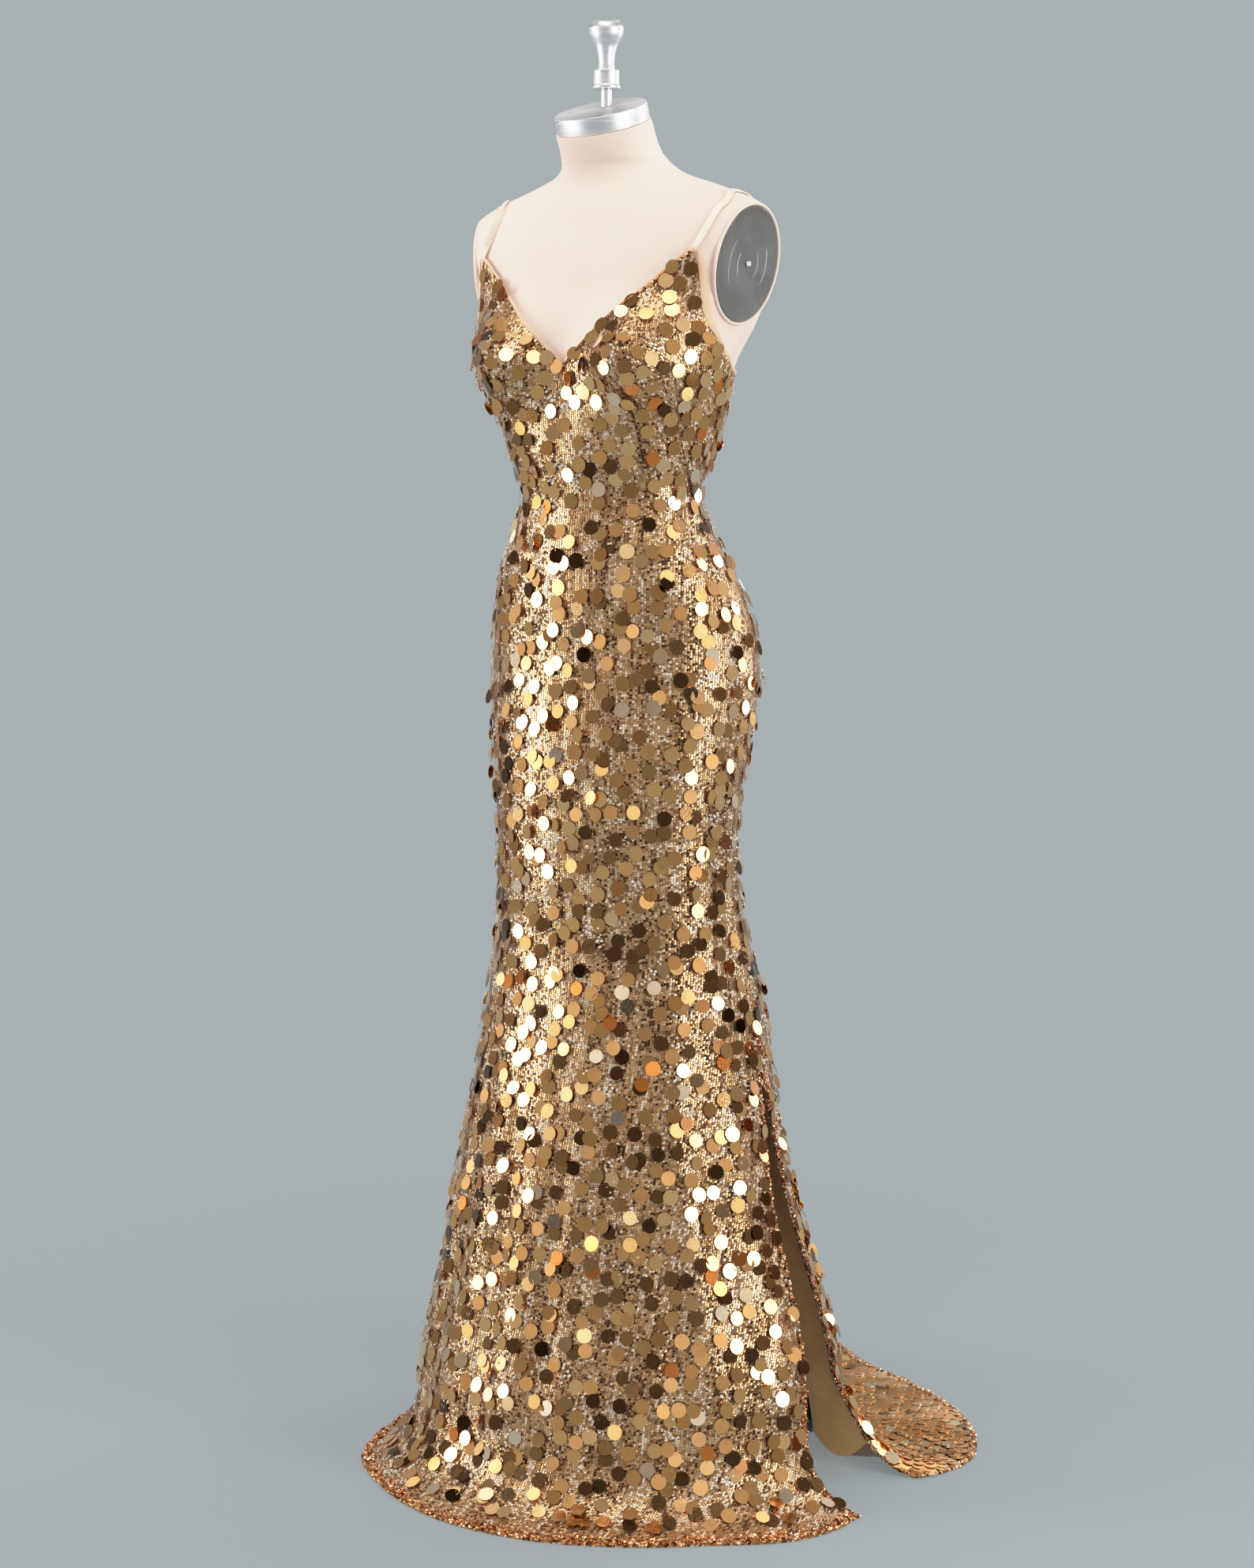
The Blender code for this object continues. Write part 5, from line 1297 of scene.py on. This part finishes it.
def torso():
    """The form's body in jersey, from its turned-in foot to the neck."""
    columns = TORSO_COLUMNS
    levels = [level for level, _ in FOOT_RINGS]
    for low, high, count in TORSO_BANDS:
        levels += [low + (high - low) * i / count for i in range(count)]
    levels.append(NECK_TOP)
    rows = len(levels) - 1
    mesh = bmesh.new()
    uv = mesh.loops.layers.uv.new("cloth")
    bmesh.ops.create_grid(mesh, x_segments=columns, y_segments=rows, size=0.5)
    for face in mesh.faces:
        for loop in face.loops:
            loop[uv].uv = ((loop.vert.co.x + 0.5) * 0.9, loop.vert.co.y * 0.9)
    seams = mesh.verts.layers.float.new("seam")
    for vert in mesh.verts:
        column, row = round((vert.co.x + 0.5) * columns), round((vert.co.y + 0.5) * rows)
        angle, level = 360.0 * (column % columns) / columns - 180.0, levels[row]
        point = torso_point(angle, max(level, HIP_LEVEL))
        if row < len(FOOT_RINGS):
            middle = Vector((0.0, HIP_Y, level))
            point = middle.lerp(Vector((point.x, point.y, level)), FOOT_RINGS[row][1])
        centre = bell(abs(angle), *CENTRE_SEAM)
        sides = bell(abs(angle), *SIDE_FORM_SEAM) * ramp(level, *SIDE_SEAM_ENDS)
        vert[seams] = min(centre + sides + bell(level, *NECK_SEAM), 1.0)
        vert.co = point
    bmesh.ops.remove_doubles(mesh, verts=mesh.verts[:], dist=1e-5)
    bmesh.ops.holes_fill(mesh, edges=[edge for edge in mesh.edges if edge.is_boundary])
    bmesh.ops.recalc_face_normals(mesh, faces=mesh.faces[:])
    thing = finish_piece("form_torso_cloth", mesh, (JERSEY,), 60.0)
    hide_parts("form_torso")


def lathe(name, profile, material, replaced, slot, steps=64, at=None, sharp=35.0):
    """A turned piece: radius and height pairs from the axis to the axis."""
    mesh = bmesh.new()
    verts = [mesh.verts.new((radius, 0.0, height)) for radius, height in profile]
    edges = [mesh.edges.new(pair) for pair in zip(verts, verts[1:])]
    bmesh.ops.spin(mesh, geom=verts + edges, axis=(0, 0, 1), cent=(0, 0, 0), angle=2 * pi,
                   steps=steps, use_merge=True)
    bmesh.ops.remove_doubles(mesh, verts=mesh.verts[:], dist=1e-6)
    if at is not None:
        bmesh.ops.transform(mesh, matrix=at, verts=mesh.verts[:])
    bmesh.ops.recalc_face_normals(mesh, faces=mesh.faces[:])
    thing = finish_piece(name, mesh, (material,), sharp)
    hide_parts(replaced)


def rounded(corners, radius, steps=3):
    """A profile whose inner corners are rounded off."""
    made = [corners[0]]
    for before, here, after in zip(corners, corners[1:], corners[2:]):
        b, h, a = Vector(before), Vector(here), Vector(after)
        reach = min(radius, (b - h).length * 0.45, (a - h).length * 0.45)
        start, end = h + (b - h).normalized() * reach, h + (a - h).normalized() * reach
        for i in range(steps + 1):
            t = i / steps
            made.append(tuple(start * (1 - t) ** 2 + h * 2 * t * (1 - t) + end * t ** 2))
    made.append(corners[-1])
    return made


RIM_OUT, RIM_RISE = 0.0020, 0.0014          # the cloth rim's middle, from the plate's edge and seat
RIM_WIDE, RIM_TALL = 0.0020, 0.0024


def arm_plates():
    """A polished oval plate in each armhole: stepped rings, a domed screw, a rolled cloth rim."""
    half_x, half_y = ARM_PLATE_HALF
    low, top = SEAM, SEAM + ARM_PLATE_THICK
    # radius as a share of the plate's, and height
    rings = rounded(((0.0, low), (0.985, low), (1.0, low + 0.0008), (1.0, top - 0.0010),
                     (0.975, top), (0.62, top - 0.0003), (0.605, top - 0.0005),
                     (0.34, top - 0.0005), (0.325, top - 0.0003), (0.0, top - 0.0004)), 0.0002, 2)
    low = top + SEAM
    dome = rounded(((0.0, low), (0.0042, low), (0.0042, low + 0.0009), (0.0030, low + 0.0019),
                    (0.0014, low + 0.0022), (0.0, low + 0.0019)), 0.0006)
    for label, sign in (("left", 1), ("right", -1)):
        centre, outward, up = plate_side(sign)
        turn = Matrix((up.cross(outward), up, outward)).transposed().to_4x4()
        seat = Matrix.Translation(centre) @ turn
        oval = seat @ Matrix.Diagonal((half_x, half_y, 1.0, 1.0))
        lathe("arm_plate_%s_shell" % label, rings, SMOKE, "arm_plate_" + label,
              "smoked_plastic", 96, oval, 60.0)
        lathe("arm_screw_%s_head" % label, dome, STEEL, "arm_screw_" + label, "steel", 32, seat)
        mesh = bmesh.new()
        ring = bmesh.ops.create_circle(mesh, segments=10, radius=1.0)["verts"]
        bmesh.ops.scale(mesh, verts=ring, vec=(RIM_WIDE, RIM_TALL, 1.0))
        bmesh.ops.rotate(mesh, verts=ring, cent=(0, 0, 0), matrix=Matrix.Rotation(pi / 2, 3, "X"))
        bmesh.ops.translate(mesh, verts=ring, vec=(1.0, 0.0, 0.0))
        bmesh.ops.spin(mesh, geom=mesh.verts[:] + mesh.edges[:], axis=(0, 0, 1), cent=(0, 0, 0),
                       angle=2 * pi, steps=96, use_merge=True)
        bmesh.ops.remove_doubles(mesh, verts=mesh.verts[:], dist=1e-6)
        uv = mesh.loops.layers.uv.new("cloth")
        # the round ring becomes an oval that follows the plate's edge at an even width
        for vert in mesh.verts:
            radius = hypot(vert.co.x, vert.co.y)
            side_x, side_y, out = vert.co.x / radius, vert.co.y / radius, RIM_OUT + radius - 1.0
            vert.co = Vector((side_x * (half_x + out), side_y * (half_y + out),
                              RIM_RISE + vert.co.z))
        for face in mesh.faces:
            for loop in face.loops:
                loop[uv].uv = (loop.vert.co.x, loop.vert.co.y)
        bmesh.ops.transform(mesh, matrix=seat, verts=mesh.verts[:])
        bmesh.ops.recalc_face_normals(mesh, faces=mesh.faces[:])
        rim = finish_piece("arm_plate_%s_cloth_rim" % label, mesh, (JERSEY,), 80.0)


POST_RADIUS, COLLAR_RADIUS = 0.0066, 0.0172


def neck_fittings():
    """The tilted neck cap, its post, the turned collar and the knob."""
    tilt = Matrix.Translation((0.0, NECK_Y, NECK_TOP)) @ Matrix.Rotation(NECK_TILT, 4, "X")
    top = SEAM + CAP_HEIGHT
    profile = rounded(((0.0, SEAM), (CAP_RADIUS, SEAM), (CAP_RADIUS, top - 0.0004),
                       (CAP_RADIUS - 0.001, top), (CAP_RADIUS - 0.0016, top - 0.0002),
                       (0.0, top - 0.0002)), 0.0009)
    lathe("neck_cap_shell", profile, ALUMINIUM, "neck_cap", "aluminium", 96, tilt)
    above = Matrix.Translation((0.0, POST_Y, 0.0))
    slope = tan(NECK_TILT)
    cap_top = NECK_TOP + slope * (POST_Y - NECK_Y) + (CAP_HEIGHT + 2 * SEAM) / cos(NECK_TILT)
    mesh = bmesh.new()
    height = COLLAR_BASE - SEAM - NECK_TOP
    bmesh.ops.create_cone(mesh, cap_ends=True, segments=48, radius1=POST_RADIUS,
                          radius2=POST_RADIUS, depth=height)
    bmesh.ops.translate(mesh, verts=mesh.verts[:], vec=(0.0, POST_Y, NECK_TOP + height / 2))
    for vert in mesh.verts:
        if vert.co.z < NECK_TOP + height / 2:
            vert.co.z = cap_top + slope * (vert.co.y - POST_Y)
    post = finish_piece("neck_post_rod", mesh, (ALUMINIUM,))
    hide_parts("neck_post")
    low, high = COLLAR_BASE, COLLAR_TOP
    profile = rounded(((0.0, low), (0.0166, low), (COLLAR_RADIUS, low + 0.0006),
                       (COLLAR_RADIUS, low + 0.0035),
                       (0.0155, low + 0.0044), (0.0155, high - 0.0036), (0.0158, high - 0.0026),
                       (0.0158, high), (0.0, high)), 0.0005)
    lathe("neck_collar_turned", profile, ALUMINIUM, "neck_collar", "aluminium", 64, above)
    low = COLLAR_TOP + SEAM
    rises = ((0.0, 0.0100), (0.0015, 0.0100), (0.0060, 0.0095), (0.0100, 0.0095), (0.0180, 0.0105),
             (0.0273, 0.0129), (0.0366, 0.0176), (0.0420, 0.0200), (0.0465, 0.0209),
             (0.0510, 0.0205), (0.0548, 0.0188), (0.0575, 0.0160))
    levels = np.linspace(0.0, rises[-1][0], 40)
    profile = [(0.0, low)] + [(smooth_row(rises, 0, level)[1], low + level) for level in levels]
    profile += [(0.0152, KNOB_TOP - 0.0004), (0.0135, KNOB_TOP), (0.0, KNOB_TOP)]
    lathe("neck_knob_turned", profile, ALUMINIUM, "neck_knob", "aluminium", 64, above, 60.0)


FLANGE_THICK, CLAMP_LOW, CLAMP_SHOULDER, CLAMP_TOP, HUB_TOP = 0.010, 0.470, 0.498, 0.506, 0.130
POLE_RADIUS, SLEEVE_RADIUS, HUB_RADIUS = 0.0140, 0.0175, 0.030
FOOT_RADIUS, FOOT_HEIGHT = 0.032, 0.062
LEG_REACH, LEG_LEVEL, LEG_BEND, LEG_RADIUS = 0.2350, 0.096, 0.030, 0.0100


def rod(low, high, radius):
    """A plain round bar's profile."""
    return (0.0, low), (radius, low), (radius, high), (0.0, high)


def stand():
    """What carries the form: flange, pole, clamp, hub, four bent legs and their bun feet."""
    top = HIP_END - SEAM
    low = top - FLANGE_THICK
    turned = (
        ("torso_flange", rod(low, top, 0.052), STEEL, "steel"),
        ("pole_upper", rod(CLAMP_TOP + SEAM, low - SEAM, POLE_RADIUS), STEEL, "steel"),
        ("pole_clamp", ((0.0, CLAMP_LOW), (0.024, CLAMP_LOW), (0.024, CLAMP_SHOULDER),
                        (0.018, CLAMP_TOP), (0.0, CLAMP_TOP)), STEEL, "steel"),
        ("pole_lower", rod(HUB_TOP + SEAM, CLAMP_LOW - SEAM, SLEEVE_RADIUS), STEEL, "steel"),
        ("base_hub", ((0.0, 0.0), (0.062, 0.0), (0.062, 0.012), (0.035, 0.017),
                      (HUB_RADIUS, 0.027), (HUB_RADIUS, HUB_TOP), (0.0, HUB_TOP)),
         ENAMEL, "enamel"),
    )
    for name, profile, material, slot in turned:
        lathe(name + "_turned", rounded(profile, 0.002), material, name, slot, 48)
    shares = ((0.0, 0.0), (0.62, 0.0), (0.92, 0.18), (1.0, 0.42), (0.90, 0.70), (0.62, 0.90),
              (0.41, 1.0), (0.0, 1.0))
    bun = rounded([(FOOT_RADIUS * wide, FOOT_HEIGHT * high) for wide, high in shares], 0.012, 4)
    # a leg's line, outward and up: level from the hub, a quarter bend, down to the foot
    line = [(HUB_RADIUS + SEAM, LEG_LEVEL)]
    for i in range(13):
        swing = i / 12 * pi / 2
        line.append((LEG_REACH - LEG_BEND + LEG_BEND * sin(swing),
                     LEG_LEVEL - LEG_BEND + LEG_BEND * cos(swing)))
    line.append((LEG_REACH, FOOT_HEIGHT + SEAM))
    for name, turn in (("front_left", -45), ("back_left", 45), ("back_right", 135),
                       ("front_right", -135)):
        direction = Vector((cos(radians(turn)), sin(radians(turn)), 0.0))
        lathe("base_foot_%s_bun" % name, bun, ENAMEL, "base_foot_" + name, "enamel", 48,
              Matrix.Translation(direction * LEG_REACH), 60.0)
        curve = bpy.data.curves.new("base_leg_%s_tube" % name, "CURVE")
        curve.dimensions = "3D"
        curve.bevel_depth = LEG_RADIUS
        curve.bevel_resolution = 6
        curve.use_fill_caps = True
        spline = curve.splines.new("POLY")
        spline.points.add(len(line) - 1)
        for target, (out, height) in zip(spline.points, line):
            target.co = (direction.x * out, direction.y * out, height, 1.0)
        spline.use_smooth = True
        tube = show(curve.name, curve, (ENAMEL,))
        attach(tube, GOWN)
        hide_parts("base_leg_" + name)


ZIP_TOP, ZIP_FOOT = 1.268, 0.980     # the closed zip below its slider
TOOTH, TOOTH_STEP = 0.0011, 0.0019


def zip_parts():
    """The closed zip's two rows of teeth down the centre back, and its slider and pull."""
    for label, column in (("left", -1), ("right", 0)):
        edges = (BODICE["bodice_back_" + label], SKIRT["skirt_back_" + label])
        points = np.concatenate([cloth.points[:, column] for cloth in edges])
        normals = np.concatenate([cloth.normals[:, column] for cloth in edges])
        order = np.argsort(points[:, 2])
        levels = np.arange(ZIP_FOOT, ZIP_TOP, TOOTH_STEP)
        centres, out = (np.stack([np.interp(levels, points[order, 2], grid[order, axis])
                                  for axis in range(3)], axis=1) for grid in (points, normals))
        out /= np.linalg.norm(out, axis=1, keepdims=True)
        down = plumb(out)
        teeth = sewn_on("zip_teeth_" + label, BEAD, centres + out * 0.0004,
                        (np.cross(out, down), down, out), np.full(len(levels), TOOTH),
                        np.zeros(len(levels)), ZIP_BRASS)
    for name in ("zip_slider", "zip_pull"):
        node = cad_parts[name]
        node.data.materials.clear()
        node.data.materials.append(ZIP_BRASS)


# ---- floor, light and camera ----
BACKDROP = (0.392, 0.434, 0.445)
ROOM_PATCHES = 4.2                          # scale of the room's light and dark patches
DARK_CORNER, CORNER_FADE = (0.799, 0.602, 0.0), (0.90, 0.985)
AIM = Vector((0.0, -0.02, 0.95))            # what the lamps are turned to
LENS, SENSOR = 61.2, 36.0
EYE, EYE_TURN, EYE_DIP = (1.7989, -2.8148, 1.2616), radians(32.60), radians(6.80)
WHITE = 3.2
# light and how bright it is shown: highlights roll off softly to white
ROLL_OFF = ((0.08, 0.256), (0.16, 0.512), (0.23, 0.72), (0.3125, 0.865), (0.47, 0.955),
            (0.70, 0.988))


def studio_floor():
    """A pale floor that melts into the backdrop."""
    mesh = bmesh.new()
    bmesh.ops.create_circle(mesh, segments=96, radius=40.0, cap_ends=True)
    data = bpy.data.meshes.new("studio_floor")
    mesh.to_mesh(data)
    mesh.free()
    pale = Finish("pale_floor", (0.350, 0.400, 0.420), 0.6)
    away = pale.node("ShaderNodeVectorMath", {0: pale.place()}, operation="LENGTH").outputs["Value"]
    glow = pale.node("ShaderNodeEmission", {0: (*BACKDROP, 1.0), 1: 1.0}).outputs[0]
    blend = pale.node("ShaderNodeMixShader", {0: pale.soft(away, 0.35, 1.6, 0.45, 1.0),
                                              1: pale.shader.outputs[0], 2: glow})
    pale.join(blend.outputs[0], "Material Output", 0)
    show("studio_floor", data, (pale.material,))


def studio_room():
    """Light and dark patches of a room for the sequins to mirror, behind a plain backdrop."""
    world = bpy.data.worlds.new("studio")
    bpy.context.scene.world = world
    world.use_nodes = True
    room = Wiring(world.node_tree)
    way = room.node("ShaderNodeTexCoord").outputs["Generated"]
    tones = room.ramp(room.noise(way, ROOM_PATCHES, 1.0), [
        (place, (value, value * 0.985, value * 0.96)) for place, value in (
            (0.36, 0.018), (0.40, 0.07), (0.43, 0.29), (0.52, 0.36), (0.55, 0.70), (0.60, 0.84),
            (0.63, 1.7), (0.70, 2.2))])
    # a dark brown corner of the room on the slit's side
    facing = room.node("ShaderNodeVectorMath", {0: way, 1: DARK_CORNER}, operation="DOT_PRODUCT")
    corner = room.soft(facing.outputs["Value"], *CORNER_FADE, 0.0, 0.85)
    room.join(room.mix(corner, tones, (0.060, 0.024, 0.014, 1.0)), "Background", 0)
    plain = room.node("ShaderNodeBackground", {0: (*BACKDROP, 1.0)}).outputs[0]
    seen = room.node("ShaderNodeLightPath").outputs["Is Camera Ray"]
    both = room.node("ShaderNodeMixShader", {
        0: seen, 1: room.tree.nodes["Background"].outputs[0], 2: plain})
    room.join(both.outputs[0], "World Output", 0)


def studio_lamps():
    lamps = (
        # name, angle round the body, height, distance, width, tall, watts
        ("left_softbox", -50.0, 1.35, 2.7, 0.80, 2.3, 44.0),
        ("right_softbox", 88.0, 1.45, 2.7, 0.80, 2.2, 40.0),
        ("top_softbox", 20.0, 3.4, 1.2, 1.6, 1.6, 25.0),
        ("back_softbox", 148.0, 1.8, 2.8, 0.9, 2.2, 25.0),
    )
    for name, turn, height, distance, wide, tall, watts in lamps:
        lamp = bpy.data.lights.new(name, "AREA")
        lamp.shape = "RECTANGLE"
        lamp.size, lamp.size_y = wide, tall
        lamp.energy = watts
        thing = show(name, lamp)
        thing.location = (sin(radians(turn)) * distance, -cos(radians(turn)) * distance, height)
        thing.rotation_euler = (AIM - thing.location).to_track_quat("-Z", "Y").to_euler()
        thing.visible_camera = False


def studio_camera():
    camera = bpy.data.cameras.new("camera")
    camera.lens, camera.sensor_width, camera.clip_end = LENS, SENSOR, 100.0
    eye = show("camera", camera)
    eye.location = EYE
    level = cos(EYE_DIP)
    ahead = Vector((-sin(EYE_TURN) * level, cos(EYE_TURN) * level, -sin(EYE_DIP)))
    eye.rotation_euler = ahead.to_track_quat("-Z", "Y").to_euler()
    bpy.context.scene.camera = eye
    view = bpy.context.scene.view_settings
    view.view_transform = "Standard"
    view.use_curve_mapping = True
    view.curve_mapping.white_level = (WHITE, WHITE, WHITE)
    for light, shown in ROLL_OFF:
        view.curve_mapping.curves[3].points.new(light, shown)
    view.curve_mapping.update()


torso()
arm_plates()
neck_fittings()
stand()
SKIRT = skirt()
BODICE = bodice()
lining()
# first and last angle of each binding, a hair short of its neighbours
for name, start, end, count in (
        ("binding_neck_left", 0.1, PEAK_ANGLE - 0.06, 60),
        ("binding_neck_right", -PEAK_ANGLE + 0.06, -0.1, 60),
        ("binding_side_left", PEAK_ANGLE + 0.06, CENTRE_BACK - 0.08, 90),
        ("binding_side_right", -CENTRE_BACK + 0.08, -PEAK_ANGLE - 0.06, 90)):
    edge_binding(name, start, end, count)
strap("strap_left", 1)
strap("strap_right", -1)
zip_parts()
studio_floor()
studio_room()
studio_lamps()
studio_camera()
